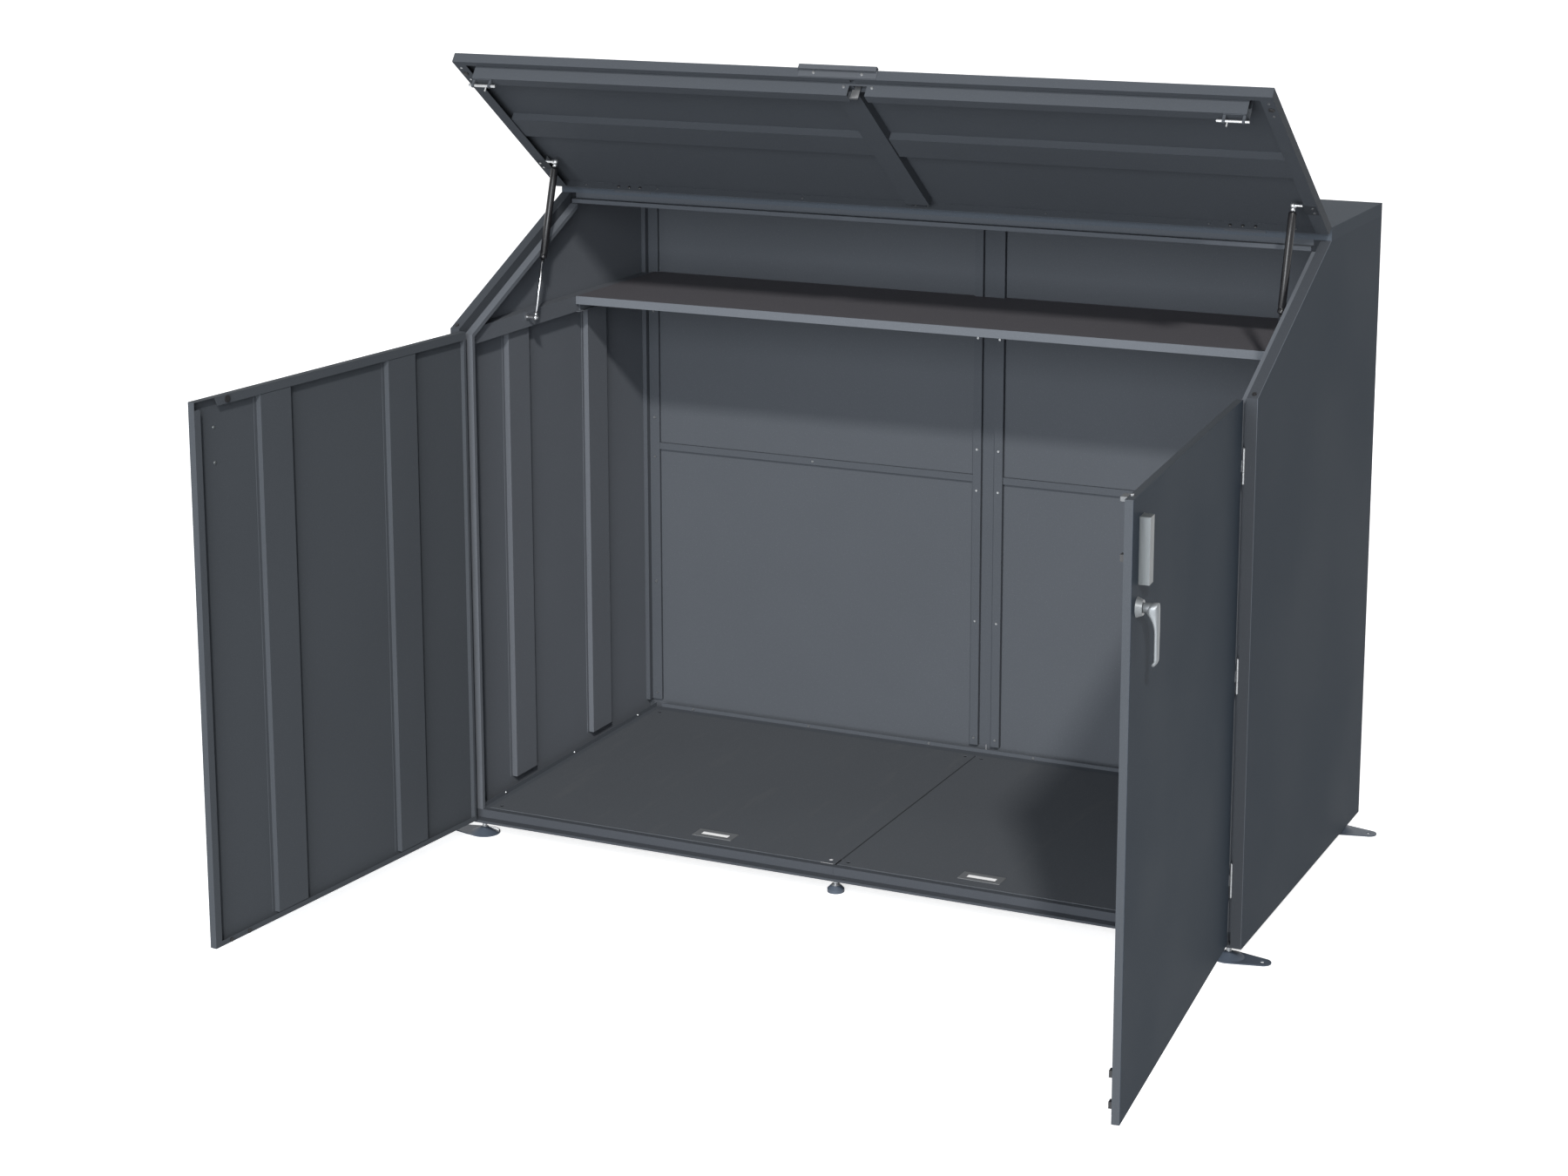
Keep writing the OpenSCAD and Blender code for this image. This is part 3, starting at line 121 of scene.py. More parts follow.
class Finish:
    """A new material, its Principled shader, and the object coordinates it reads."""

    def __init__(self, name, **constants):
        self.material = bpy.data.materials.new(name)
        self.material.use_nodes = True
        self.tree = self.material.node_tree
        self.tree.nodes.clear()
        self.output = self.tree.nodes.new("ShaderNodeOutputMaterial")
        self.shader = self.tree.nodes.new("ShaderNodeBsdfPrincipled")
        self.tree.links.new(self.shader.outputs[0], self.output.inputs[0])
        self.put(**constants)
        coordinates = self.tree.nodes.new("ShaderNodeTexCoord")
        self.place = Shade(self.tree, coordinates.outputs["Object"])
        split = self.tree.nodes.new("ShaderNodeSeparateXYZ")
        self.tree.links.new(self.place.socket, split.inputs[0])
        self.x, self.y, self.z = (Shade(self.tree, split.outputs[i]) for i in range(3))

    def noise(self, scale, detail=2.0, roughness=0.5, at=None):
        """Cloudy values around a half."""
        return self.place.node("ShaderNodeTexNoise", {},
                               {"Vector": at or self.place, "Scale": scale, "Detail": detail,
                                "Roughness": roughness})

    def cells(self, scale, out="Distance", at=None):
        """Distance to the nearest of many scattered points, or each cell's own colour."""
        return self.place.node("ShaderNodeTexVoronoi", {}, {"Vector": at or self.place,
                                                            "Scale": scale}, out=out)

    def stretched(self, x, y, z):
        """The object coordinates, each multiplied by its own number."""
        return self.place.node("ShaderNodeVectorMath", {"operation": "MULTIPLY"},
                               {0: self.place, 1: (x, y, z)})

    def bump(self, height, distance, strength=1.0):
        """Turns a height into the shader's normal."""
        made = self.place.node("ShaderNodeBump", {}, {"Height": height, "Distance": distance,
                                                      "Strength": strength})
        self.tree.links.new(made.socket, self.shader.inputs["Normal"])

    def plain(self, colour):
        """One colour as a node, so that it can be multiplied."""
        made = self.place.node("ShaderNodeRGB")
        made.socket.default_value = (*colour, 1.0)
        return made

    def put(self, **sockets):
        """Feeds values to the shader's inputs; Base_Color stands for Base Color."""
        for key, value in sockets.items():
            socket = self.shader.inputs[key.replace("_", " ")]
            if isinstance(value, Shade):
                self.tree.links.new(value.socket, socket)
            else:
                socket.default_value = value


def powder_coat(name, colour, grain=0.16, speck=0.35, roughness=0.5):
    """Baked powder paint: fine dark and light grain, a few paler specks where grains of the
    powder stand out, a slow cloudiness, and an orange-peel surface. Gives the Finish."""
    paint = Finish(name, Specular_IOR_Level=0.012)
    fine = paint.noise(780.0, 2.0, 0.65)
    specks = (paint.cells(330.0) < 0.17) * (paint.noise(140.0, 1.0) > 0.5)
    cloud = paint.noise(1.9, 4.0, 0.55)
    paint.tone = (fine - 0.5) * (2.0 * grain) + (cloud - 0.5) * 0.14 + specks * speck + 1.0
    paint.colour = paint.plain(colour)
    paint.put(Base_Color=paint.colour.times(paint.tone),
              Roughness=cloud.ramp(0.2, 0.8, roughness - 0.05, roughness + 0.06))
    paint.bump(fine + paint.noise(230.0, 1.0) * 1.4 + specks * 0.5, 0.00018, 0.55)
    return paint


def wear(finish, *nodes):
    """Gives the CAD nodes the finish."""
    for name in nodes:
        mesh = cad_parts[name].data
        mesh.materials.clear()
        mesh.materials.append(finish.material)


# One paint in three colours: the walls' inner faces are painted lighter, as painted light, and
# their outer faces and front edges darker, as painted shade.
inner_painted_light, edge_painted_shade, outer_painted_shade = ((0.134, 0.145, 0.162), (0.064, 0.070, 0.079),
                                        (0.053, 0.064, 0.079))
wall = powder_coat("panel", inner_painted_light)
# How far out the sheet's outer and inner faces and the inner end of its front edge lie
outer_x, inner_x, edge_x = 0.9995, 0.9984, 0.974
across = abs(wall.x)
outside, edge = across > outer_x, (across > edge_x) * (across < inner_x)
painted_light_and_shade = outside.mix(edge.mix(inner_painted_light, edge_painted_shade), outer_painted_shade)
wall.put(Base_Color=painted_light_and_shade.times(wall.tone))
wear(wall, "wall_right", "wall_left")
wear(powder_coat("back", (0.090, 0.098, 0.110)), "back_panel_right", "back_panel_left")

# Posts, ribs and rails: folded steel channels in the same powder paint, spot welded or
# screwed to the panels. They carry the shelf, the roof and the doors' hinges.
wear(powder_coat("frame", (0.084, 0.092, 0.104)), "base_rails", "back_corner_posts",
     "back_centre_post", "back_mid_rails", "header_beam")
wear(powder_coat("side", (0.132, 0.142, 0.158)), "front_posts", "wall_ribs", "side_rails")
wear(powder_coat("sill", (0.070, 0.076, 0.086)), "front_sill", "floor_bearer", "base_plates")

# Roof cap, lid, and the lid's stiffening channel and ribs: folded steel sheet, spot welded.
# They are painted like the walls, and the cap's weather side shows its pale specks more.
cap = powder_coat("roof", (0.078, 0.090, 0.106), grain=0.2, speck=0.6)
# The cap's outer sides are painted darker than its top: painted shade, as on the walls' outer
# faces.
cap_side = abs(cap.x) > outer_x
cap_paint_painted_shade = cap_side.mix((0.076, 0.089, 0.106), (0.060, 0.072, 0.088))
cap.put(Base_Color=cap_paint_painted_shade.times(cap.tone))
wear(cap, "roof_cap")
lid_paint = (0.074, 0.081, 0.091)
wear(powder_coat("lid", lid_paint), "lid_panel", "lid_front_channel", "lid_ribs")

# Shelf: a steel tray whose top is painted darker and warmer than its folded edges, as painted
# shade under the lid, with coarser pale specks; its edges are the colour of the panels. It hangs
# on the side rails.
tray = powder_coat("shelf", (0.145, 0.157, 0.174))
shelf_top, shelf_front = 1.2743, 0.0605
on_top = (tray.z > shelf_top) * (tray.y > shelf_front)
dark_specks = (tray.cells(420.0) < 0.2) * 0.55 + (tray.noise(900.0) - 0.5) * 0.5 + 1.0
# The top's darker, warmer colour is painted shade.
top_painted_shade = tray.plain((0.120, 0.116, 0.126))
tray.put(Base_Color=on_top.mix(tray.colour.times(tray.tone), top_painted_shade.times(dark_specks)))
wear(tray, "shelf")

# Floor: two folded steel trays on the base rails, their paint worn a little dull by wheels,
# each with a lift-out plate of plain metal with a slot.
ground = powder_coat("floor", (0.096, 0.103, 0.113), grain=0.24, speck=0.5, roughness=0.56)
scuffs = ground.noise(60.0, 3.0, 0.6, ground.stretched(0.35, 0.05, 1.0)).ramp(0.55, 0.75)
ground.put(Base_Color=(scuffs * 0.35).mix(ground.colour.times(ground.tone),
                                          (0.12, 0.125, 0.13)))
wear(ground, "floor_panel_right", "floor_panel_left")
plate = Finish("lift_plate", Metallic=0.35, Specular_IOR_Level=0.4)
brushed = plate.noise(50.0, 3.0, 0.6, plate.stretched(0.4, 9.0, 1.0))
plate.put(Base_Color=brushed.mix((0.17, 0.175, 0.18), (0.25, 0.255, 0.26)),
          Roughness=brushed.ramp(0.2, 0.8, 0.36, 0.48))
plate.bump(brushed, 0.0001, 0.3)
wear(plate, "lift_plate_right", "lift_plate_left")

# Doors: two folded steel trays with two hat ribs welded inside each, in the panels' powder
# paint, whose outer faces are painted darker and bluer, as painted shade. Each door hangs on
# three hinges.
skin = powder_coat("door", (0.074, 0.080, 0.089))
# Hinge line in plan, angle of the open door, and depth that parts its outer face, painted as
# shade, from the rest
hinge_line_x, hinge_line_y, opening, face = 0.97325, -0.5055, math.radians(95.0), 0.0046
depth = ((abs(skin.x) - hinge_line_x) * -math.sin(opening)
         + (skin.y - hinge_line_y) * math.cos(opening))
# The outer face gets the darker, bluer colour: painted shade.
skin.put(Base_Color=(depth < face).mix((0.073, 0.080, 0.089),
                                       (0.048, 0.060, 0.076)).times(skin.tone))
wear(skin, "door_panel_right", "door_ribs_right", "door_panel_left", "door_ribs_left")

# Hinge leaves: steel leaves painted with their panels. The barrels and pins of the door
# hinges are bare, because the paint is masked from what turns.
barrel_r = 0.0042
leaf = powder_coat("hinge_leaf", (0.086, 0.094, 0.106))
off_x, off_y = abs(leaf.x) - hinge_line_x, leaf.y - hinge_line_y
bare = (off_x * off_x + off_y * off_y) < barrel_r ** 2
leaf.put(Base_Color=bare.mix(leaf.colour.times(leaf.tone), (0.36, 0.37, 0.38)),
         Metallic=bare * 0.85, Roughness=bare.ramp(0.0, 1.0, 0.5, 0.3))
wear(leaf, "fixed_hinge_leaves", "door_hinge_leaves_right", "door_hinge_leaves_left")
wear(powder_coat("lid_leaf", lid_paint), "lid_hinge_leaves")

# Pull handles of the doors: bent steel strip with a satin silver paint, brushed along its
# length, screwed through the door from inside.
grip = Finish("handle", Metallic=0.4, Specular_IOR_Level=0.4)
drawn = grip.noise(120.0, 3.0, 0.6, grip.stretched(3.0, 3.0, 0.15))
grip.put(Base_Color=drawn.mix((0.105, 0.116, 0.12), (0.145, 0.156, 0.16)),
         Roughness=drawn.ramp(0.2, 0.8, 0.34, 0.46))
grip.bump(drawn, 0.00012, 0.3)
wear(grip, "door_handle_right", "door_handle_left")

# Handle along the lid's front edge: a steel strip bent to a hook, painted with the lid's
# coat and riveted under the edge.
wear(powder_coat("lid_edge", (0.092, 0.099, 0.110)), "lid_handle")

# Lock rose: a cone of grey die-cast zinc on the door's face, round the lever's spindle. The
# lever is cast of the same metal.
cast = Finish("lever", Metallic=0.55, Specular_IOR_Level=0.5)
pits = cast.noise(420.0, 3.0, 0.6)
cast.put(Base_Color=pits.mix((0.16, 0.171, 0.179), (0.22, 0.233, 0.242)),
         Roughness=pits.ramp(0.2, 0.8, 0.32, 0.44))
cast.bump(pits, 0.00015, 0.4)
wear(cast, "lock_rosette")

# Zinc-plated small parts: the struts' lower studs, the lid's tongue, its two spring bolts
# and the lock's rods. Pressed or turned, then plated to a cloudy silver.
zinc = Finish("zinc", Metallic=0.9)
spangle = zinc.cells(240.0, "Color")
cloudy = zinc.noise(60.0, 3.0)
zinc.put(Base_Color=(cloudy * 0.7 + spangle * 0.3).mix((0.34, 0.35, 0.36),
                                                       (0.56, 0.57, 0.58)),
         Roughness=cloudy.ramp(0.2, 0.8, 0.28, 0.42))
zinc.bump(cloudy, 0.0001, 0.3)
wear(zinc, "strut_wall_studs", "lid_tongue", "lid_bolt_right", "lid_bolt_left",
     "lock_rod_top", "lock_rod_bottom")

# Screws and rivets: low round heads of zinc-plated steel that hold the panels together.
# Those that fix the hinges are blackened, and show darker than the paint round them.
heads = Finish("screws")
plated = heads.noise(300.0, 2.0)
door_screw_x, door_screw_y, lid_screw_x, lid_screw_z = 0.9655, -0.45, (0.76, 0.832), 1.5
off_centre = abs(heads.x)
by_door_hinge = (off_centre > door_screw_x) * (heads.y < door_screw_y)
between = (off_centre > lid_screw_x[0]) * (off_centre < lid_screw_x[1])
blackened = by_door_hinge + between * (heads.y > 0.0) * (heads.z > lid_screw_z)
heads.put(Base_Color=blackened.mix(plated.mix((0.24, 0.25, 0.26), (0.44, 0.45, 0.46)),
                                   (0.012, 0.012, 0.013)),
          Metallic=0.85 - blackened * 0.8, Roughness=plated.ramp(0.2, 0.8, 0.3, 0.45))
heads.bump(plated, 0.0001, 0.3)
wear(heads, "cabinet_screws", "lid_screws")

# The lid's strut brackets and the housings of its spring bolts are bent from sheet and
# painted with the lid, and only the brackets' ball studs are bare metal.
ear = powder_coat("strut_ear", (0.05, 0.054, 0.06))
ear_x = 0.9665
stud = abs(ear.x) < ear_x
ear.put(Base_Color=stud.mix(ear.colour.times(ear.tone), (0.55, 0.56, 0.57)),
        Metallic=stud * 0.9, Roughness=stud.ramp(0.0, 1.0, 0.5, 0.3))
wear(ear, "lid_strut_studs")
wear(powder_coat("bolt_housing", lid_paint), "lid_bolt_housings")

# Gas struts: a ground and chromed rod in a seamless tube with glossy black paint and
# rolled-in shoulders. Plated ball sockets are screwed on both ends and snap on the studs.
def turned(profile, start, along, around=40):
    """A profile turned round an axis. Ring k lies at the start plus the axis times the
    profile's distance k, and its points stand off by the profile's radius k times the
    cosine and sine of the angle. A radius of nought closes an end."""
    distance, radius = np.asarray(profile, float).T
    along = np.asarray(along, float) / np.linalg.norm(along)
    side = np.cross(along, (1.0, 0.0, 0.0) if abs(along[0]) < 0.9 else (0.0, 1.0, 0.0))
    side /= np.linalg.norm(side)
    up = np.cross(along, side)
    turn = np.linspace(0.0, 2.0 * np.pi, around, endpoint=False)
    ring = np.cos(turn)[:, None] * side + np.sin(turn)[:, None] * up
    return (np.asarray(start, float) + distance[:, None, None] * along
            + radius[:, None, None] * ring[None])


def skinned(name, grids, finish, slot, body, *stands_for):
    """Makes one piece from grids of points: row by row, each point joins its neighbours in
    four-sided faces, round each ring. Rides on the body and stands for CAD nodes."""
    points, faces, first = [], [], 0
    for grid in grids:
        rows, ring = grid.shape[:2]
        here = first + np.arange(rows * ring).reshape(rows, ring)
        beside = np.roll(here, -1, axis=1)
        faces.append(np.stack([here[:-1], beside[:-1], beside[1:], here[1:]], -1).reshape(-1, 4))
        points.append(grid.reshape(-1, 3))
        first += rows * ring
    mesh = bpy.data.meshes.new(name)
    mesh.from_pydata(np.concatenate(points).tolist(), [], np.concatenate(faces).tolist())
    work = bmesh.new()
    work.from_mesh(mesh)
    bmesh.ops.remove_doubles(work, verts=work.verts, dist=1e-6)
    bmesh.ops.dissolve_degenerate(work, edges=work.edges, dist=1e-7)
    bmesh.ops.recalc_face_normals(work, faces=work.faces)
    work.to_mesh(mesh)
    work.free()
    mesh.shade_smooth()
    mesh.materials.append(finish.material)
    piece = bpy.data.objects.new(name, mesh)
    bpy.context.scene.collection.objects.link(piece)
    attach(piece, body)
    if stands_for:
        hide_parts(*stands_for)


def corners_of(node, keep=None):
    """The node's vertices as an array, or only those that a test keeps."""
    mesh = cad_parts[node].data
    flat = np.empty(3 * len(mesh.vertices))
    mesh.vertices.foreach_get("co", flat)
    found = flat.reshape(-1, 3)
    return found if keep is None else found[keep(found)]


def bar(first, last, radius):
    """The profile of a closed round bar between two distances."""
    return [[first, 0.0], [first, radius], [last, radius], [last, 0.0]]


def arc(centre, radius, squash, first, last, steps):
    """Distances and radii on a quarter or half round: the centre plus the squashed cosine,
    and the radius times the sine, from the first to the last angle in degrees."""
    angle = np.radians(np.linspace(first, last, steps))
    return np.stack([centre - squash * np.cos(angle), radius * np.sin(angle)], -1)


chrome = Finish("chrome", Metallic=1.0)
ground_marks = chrome.noise(90.0, 2.0, 0.5, chrome.stretched(6.0, 1.0, 1.0))
chrome.put(Base_Color=ground_marks.mix((0.66, 0.67, 0.69), (0.8, 0.81, 0.83)),
           Roughness=ground_marks.ramp(0.2, 0.8, 0.12, 0.2))
chrome.bump(ground_marks, 0.00002, 0.2)
tube = Finish("strut_tube", Specular_IOR_Level=0.35)
flow = tube.noise(45.0, 3.0)
tube.put(Base_Color=flow.mix((0.008, 0.008, 0.009), (0.014, 0.014, 0.016)),
         Roughness=flow.ramp(0.2, 0.8, 0.2, 0.27))
tube.bump(tube.noise(120.0, 1.0), 0.00003, 0.2)
# Half of an eye's width, the length kept clear of the tube by it, and the radii of the parts
eye, eye_clear, tube_r, rod_r, neck_r, ball_r = 0.007, 0.012, 0.009, 0.004, 0.0036, 0.0072
crown_h, crown_r, rod_start, rod_inside = 0.006, 0.0045, 0.003, 0.02
# Distances from the tube's lower end: its mouth round the rod, the rolled edge, and the groove
# that holds the gland
mouth = np.array([[0.0, 0.0043], [0.0, 0.0075], [0.0012, 0.0087], [0.003, 0.009],
                  [0.010, 0.009], [0.0106, 0.0084], [0.0122, 0.0084], [0.0128, 0.009]])
# Distances from an eye's centre, along the collar that the eye is screwed on with
collar = np.array([[0.004, 0.003], [0.006, 0.0052], [0.0135, 0.0052], [0.0135, 0.0]])
for side in ("right", "left"):
    shell, shaft = corners_of("strut_cylinder_" + side), corners_of("strut_rod_" + side)
    low = shaft[np.abs(shaft[:, 2] - shaft[:, 2].min()) < 2 * eye].mean(0)
    high = shell[np.abs(shell[:, 2] - shell[:, 2].max()) < 2 * eye].mean(0)
    axis = (high - low) / np.linalg.norm(high - low)
    low = low + axis * (((shaft - low) @ axis).min() + eye)
    length = ((shell - low) @ axis).max() - eye
    wide = shell[np.linalg.norm(np.cross(shell - low, axis), axis=1) > 0.95 * tube_r]
    reach = (wide - low) @ axis
    reach = reach[reach < length - eye_clear]
    foot_end, shoulder = reach.min(), reach.max()
    bend = np.linspace(0.2, 1.5, 7)
    crown = np.stack([shoulder - crown_h * (1.0 - np.sin(bend)),
                      crown_r * (1.0 + np.cos(bend))], -1)
    neck = length - collar[0, 0]
    body_line = np.vstack([mouth + [foot_end, 0.0], [[shoulder - crown_h, tube_r]], crown,
                           [[shoulder, neck_r], [neck, neck_r], [neck, 0.0]]])
    skinned("strut_tube_" + side, [turned(body_line, low, axis)], tube, "strut",
            "strut_cylinder_" + side, "strut_cylinder_" + side)
    socket = turned(arc(length, ball_r, ball_r, 0.0, 180.0, 15), low, axis)
    top_collar = turned((collar * [-1.0, 1.0] + [length, 0.0])[::-1], low, axis)
    skinned("strut_top_socket_" + side, [socket, top_collar], zinc, "zinc",
            "strut_cylinder_" + side)
    rod_line = bar(rod_start, foot_end + rod_inside, rod_r)
    skinned("strut_shaft_" + side, [turned(rod_line, low, axis)], chrome, "chrome",
            "strut_rod_" + side, "strut_rod_" + side)
    socket = turned(arc(0.0, ball_r, ball_r, 0.0, 180.0, 15), low, axis)
    skinned("strut_foot_socket_" + side, [socket, turned(collar, low, axis)], zinc, "zinc",
            "strut_rod_" + side)

# Lever: one zinc casting with a round hub that runs out into a tapered grip, its end hooked
# towards the door. A steel spindle through the rose carries the cam disc and its two pins.
lever_x, lever_z, hinge_front = -0.92325, 1.062, 0.004
# Top of the hub and end of the grip in Z, half of the tip's width, and depths of the outer face
# and of the face on the door's side
hub_top, grip_end, tip, outer, inner = 0.012, -0.105, 0.0075, -0.043, -0.0335
# How much the curl, the hook and the web add in depth, the Z at which each starts, and the
# length over which it grows
curl_d, curl_z, curl_run = 0.009, -0.096, 0.016
hook_d, hook_z, hook_run = 0.0045, -0.100, 0.009
web_d, web_z, web_run = 0.015, -0.046, 0.036


def on_door(points):
    """Places given as lever X, depth behind the closed door's face and lever Z, turned with
    the door about its hinge line: X and depth are turned by the door's angle in plan."""
    away, deep = lever_x + points[..., 0], hinge_front + points[..., 1]
    return np.stack([hinge_line_x + away * math.cos(opening) - deep * math.sin(opening),
                     hinge_line_y + away * math.sin(opening) + deep * math.cos(opening),
                     lever_z + points[..., 2]], -1)


def smooth(value):
    """Runs from nought to one like 3 t squared minus 2 t cubed."""
    t = np.clip(value, 0.0, 1.0)
    return t * t * (3.0 - 2.0 * t)


# The casting is a stack of rounded oblongs, from the top of the hub down to the hooked tip
down = np.concatenate([hub_top * np.cos(np.linspace(0.0, np.pi / 2, 14)),
                       np.linspace(-0.004, grip_end, 44),
                       grip_end - tip * np.sin(np.linspace(0.0, np.pi / 2, 14))[1:]])
taper = np.interp(down, [grip_end, 0.0], [tip, hub_top])
past_hub = np.clip(down / hub_top, 0.0, 1.0)
past_end = np.clip((grip_end - down) / tip, 0.0, 1.0)
half_width = taper * np.sqrt(np.maximum(1.0 - past_hub ** 2 - past_end ** 2, 0.0))
# Its outer side curls in at the tip, where a small hook stands out on the door's side, and a
# curved web joins the grip to the hub
curl = curl_d * np.clip((curl_z - down) / curl_run, 0.0, 1.0) ** 2
hooked = hook_d * smooth((hook_z - down) / hook_run)
web = web_d * np.clip((down - web_z) / web_run, 0.0, 1.0) ** 2 * (1.0 - past_hub) ** 0.5
rounding = 0.55 + 0.45 * (half_width / taper) ** 0.5
front_y, back_y = outer + curl, inner + web + hooked
middle_y, half_depth = (front_y + back_y) / 2, (back_y - front_y) / 2 * rounding
half_depth[[0, -1]] = 0.0
turn = np.linspace(0.0, 2.0 * np.pi, 48, endpoint=False)
# Each oblong is a superellipse: cosine and sine raised to two over this power
oblong_power = 2.8
across_turn = np.sign(np.cos(turn)) * np.abs(np.cos(turn)) ** (2.0 / oblong_power)
deep_turn = np.sign(np.sin(turn)) * np.abs(np.sin(turn)) ** (2.0 / oblong_power)
casting = np.stack([half_width[:, None] * across_turn,
                    middle_y[:, None] + half_depth[:, None] * deep_turn,
                    np.repeat(down[:, None], len(turn), axis=1)], -1)
middle, depth_axis, pin_at = (0, 0, 0), (0.0, 1.0, 0.0), 0.00636
spindle, cam = bar(-0.013, 0.0065, 0.004), bar(0.0055, 0.0085, 0.0114)
pin = bar(0.0075, 0.0125, 0.002)
hub = [[-0.0405, 0.0], [-0.0405, 0.0105], [-0.036, 0.0112], [-0.031, 0.0104],
       [-0.026, 0.010], [-0.0128, 0.010], [-0.0125, 0.0097], [-0.0125, 0.0]]
shapes = [casting, turned(hub, middle, depth_axis, 48), turned(spindle, middle, depth_axis),
          turned(cam, middle, depth_axis, 48)]
shapes += [turned(pin, (way * pin_at, 0, way * pin_at), depth_axis, 20) for way in (-1, 1)]
skinned("lever_casting", [on_door(shape) for shape in shapes], cast, "handle", "lever", "lever")

# Buffers: moulded black rubber plugs pressed into holes in the walls' slopes, the lid and
# the doors. The right door's node has its lock's plastic rod guides and steel bracket too.
rubber = Finish("rubber", Specular_IOR_Level=0.3)
bloom = rubber.noise(160.0, 3.0, 0.6)
rubber.put(Base_Color=bloom.mix((0.011, 0.011, 0.012), (0.024, 0.024, 0.025)),
           Roughness=bloom.ramp(0.2, 0.8, 0.5, 0.68))
rubber.bump(rubber.noise(600.0, 2.0), 0.0001, 0.4)
wear(rubber, "wall_buffers", "door_buffers_left")
lid_normal = np.array([0.0, -0.58779, -0.80902])
plug_r, plug_edge, plug_h = 0.007, 0.0012, 0.0034
dome = np.vstack([[[0.0, 0.0], [0.0, plug_r]],
                  arc(plug_edge, plug_r, plug_h - plug_edge, 90.0, 180.0, 9)])
domes = []
for way in (-1.0, 1.0):
    rim = corners_of("lid_buffers", lambda found: found[:, 0] * way > 0)
    foot = rim.mean(0) + lid_normal * ((rim @ lid_normal).min() - rim.mean(0) @ lid_normal)
    domes.append(turned(dome, foot, lid_normal, 32))
skinned("lid_domes", domes, rubber, "black", "lid", "lid_buffers")
guides = Finish("guides")
bracket_z = 1.2525
steel_part = guides.z > bracket_z
worn = guides.noise(200.0, 3.0)
guides.put(Base_Color=steel_part.mix(worn.mix((0.011, 0.011, 0.012), (0.022, 0.022, 0.023)),
                                     worn.mix((0.1, 0.104, 0.108), (0.14, 0.145, 0.15))),
           Metallic=steel_part * 0.3, Roughness=worn.ramp(0.2, 0.8, 0.4, 0.58))
guides.bump(worn, 0.0001, 0.3)
wear(guides, "door_buffers_right")

# Levelling feet: a slate-blue moulded pad on an anchor plate of painted steel, with a
# zinc-plated threaded stud that screws into the nut in the base plate.
pad = Finish("foot", Specular_IOR_Level=0.35)
stud_z, pitch = 0.0165, 0.00175
stud_metal = pad.z > stud_z
mottle = pad.noise(200.0, 3.0, 0.6)
turns = pad.z * (2.0 * math.pi / pitch)
thread = turns.math("SINE", turns)
# The stud's colour runs dark and light along its thread: painted shade in the roots and painted
# highlight on the crests.
pad.put(Base_Color=stud_metal.mix(mottle.mix((0.062, 0.078, 0.102), (0.082, 0.1, 0.128)),
                                  (thread * 0.5 + 0.5).mix((0.25, 0.26, 0.27),
                                                           (0.6, 0.61, 0.62))),
        Metallic=stud_metal * 0.85, Roughness=mottle.ramp(0.2, 0.8, 0.4, 0.55))
pad.bump(mottle + thread * stud_metal * 1.5, 0.0002, 0.5)
wear(pad, "foot_front_right", "foot_front_left", "foot_back_right", "foot_back_left",
     "foot_front_centre")

# Studio: a pale floor and backdrop that are plain white to the camera and in reflections,
# a key light from the front right and above, one broad soft light before the doors, and a
# weaker one behind that stays below the roof.
floor_r = 60
floor_mesh = bpy.data.meshes.new("studio_floor")
floor_mesh.from_pydata([(-floor_r, -floor_r, 0), (floor_r, -floor_r, 0), (floor_r, floor_r, 0),
                        (-floor_r, floor_r, 0)], [], [(0, 1, 2, 3)])
studio_floor = bpy.data.objects.new("studio_floor", floor_mesh)
bpy.context.scene.collection.objects.link(studio_floor)
pale = Finish("studio_floor", Base_Color=(0.8, 0.8, 0.8, 1), Roughness=0.9,
              Specular_IOR_Level=0.1, Emission_Color=(1, 1, 1, 1), Emission_Strength=0.76)
plain = pale.tree.nodes.new("ShaderNodeBsdfDiffuse")
plain.inputs["Color"].default_value = (0.27, 0.275, 0.285, 1)


def split_by_ray(tree, unseen, seen, output):
    """Rays from the camera, in reflections and through glass meet the second shader, and all
    other rays the first."""
    rays = tree.nodes.new("ShaderNodeLightPath")
    camera_ray, glossy, through = (Shade(tree, rays.outputs[kind]) for kind in
                                   ("Is Camera Ray", "Is Glossy Ray", "Is Transmission Ray"))
    near = camera_ray + glossy
    direct = near.math("ADD", near, through, clamp=True)
    choice = tree.nodes.new("ShaderNodeMixShader")
    tree.links.new(direct.socket, choice.inputs[0])
    tree.links.new(unseen.outputs[0], choice.inputs[1])
    tree.links.new(seen.outputs[0], choice.inputs[2])
    tree.links.new(choice.outputs[0], output.inputs[0])


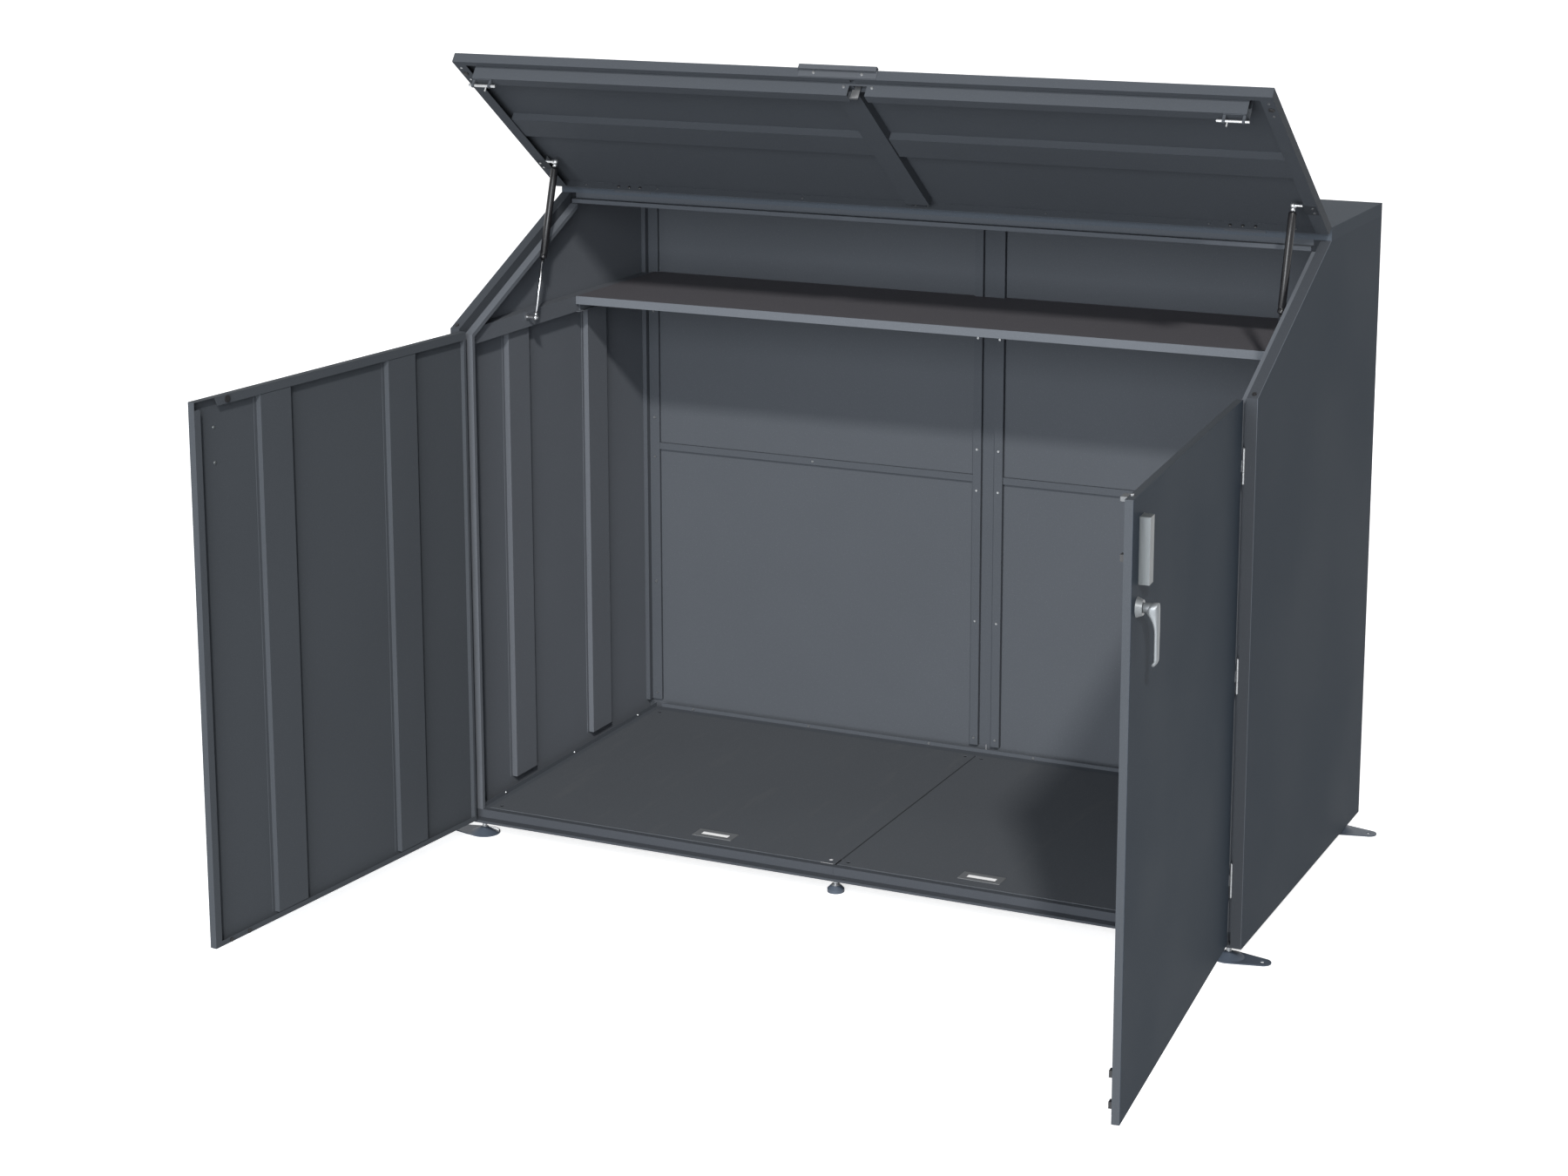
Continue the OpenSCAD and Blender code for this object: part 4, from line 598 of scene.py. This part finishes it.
split_by_ray(pale.tree, plain, pale.shader, pale.output)
floor_mesh.materials.append(pale.material)

world = bpy.data.worlds.new("studio")
bpy.context.scene.world = world
world.use_nodes = True
air = world.node_tree
air.nodes.clear()
sky = air.nodes.new("ShaderNodeOutputWorld")
dim, white = (air.nodes.new("ShaderNodeBackground") for _ in range(2))
dim.inputs["Color"].default_value = (0.90, 0.95, 1.0, 1)
dim.inputs["Strength"].default_value = 0.25
white.inputs["Color"].default_value = (1, 1, 1, 1)
white.inputs["Strength"].default_value = 1.0
split_by_ray(air, dim, white, sky)


def lamp(name, kind, place, toward, **settings):
    """A light at a place, turned so that it shines toward another place."""
    light = bpy.data.lights.new(name, kind)
    for key, value in settings.items():
        setattr(light, key, value)
    made = bpy.data.objects.new(name, light)
    bpy.context.scene.collection.objects.link(made)
    made.location = place
    made.rotation_euler = (Vector(toward) - Vector(place)).to_track_quat("-Z", "Y").to_euler()


lamp("key", "SUN", (0, 0, 0), (-0.52, 1.0, -0.79), energy=1.95, angle=math.radians(3.5),
     color=(1.0, 0.985, 0.965))
lamp("front", "AREA", (0.9, -7.0, 2.2), (0, 0, 0.9), shape="SQUARE", size=4.0, energy=470.0,
     color=(0.93, 0.96, 1.0))
lamp("behind", "AREA", (-3.0, 7.0, 0.8), (0, 0, 0.8), shape="SQUARE", size=1.4, energy=240.0,
     color=(0.95, 0.97, 1.0))

# Camera: the place, turn, tilt and lens that put the shed's corners where the photograph has
# them in a frame of 1800 by 1350. Part of the downward view is the lens's shift.
camera_data = bpy.data.cameras.new("camera")
camera = bpy.data.objects.new("camera", camera_data)
bpy.context.scene.collection.objects.link(camera)
bpy.context.scene.camera = camera
camera_data.sensor_width = 36.0
focal_px, frame_px = 3445.8, 1800
camera_data.lens = focal_px / frame_px * camera_data.sensor_width
camera_data.shift_y = -0.12
camera_data.clip_end = 200.0
camera.location = (2.7626, -6.5712, 2.5631)
camera.rotation_euler = Euler((math.radians(90 - 11.62), math.radians(0.085),
                               math.radians(25.336)), "XYZ")
bpy.context.scene.view_settings.view_transform = "Standard"
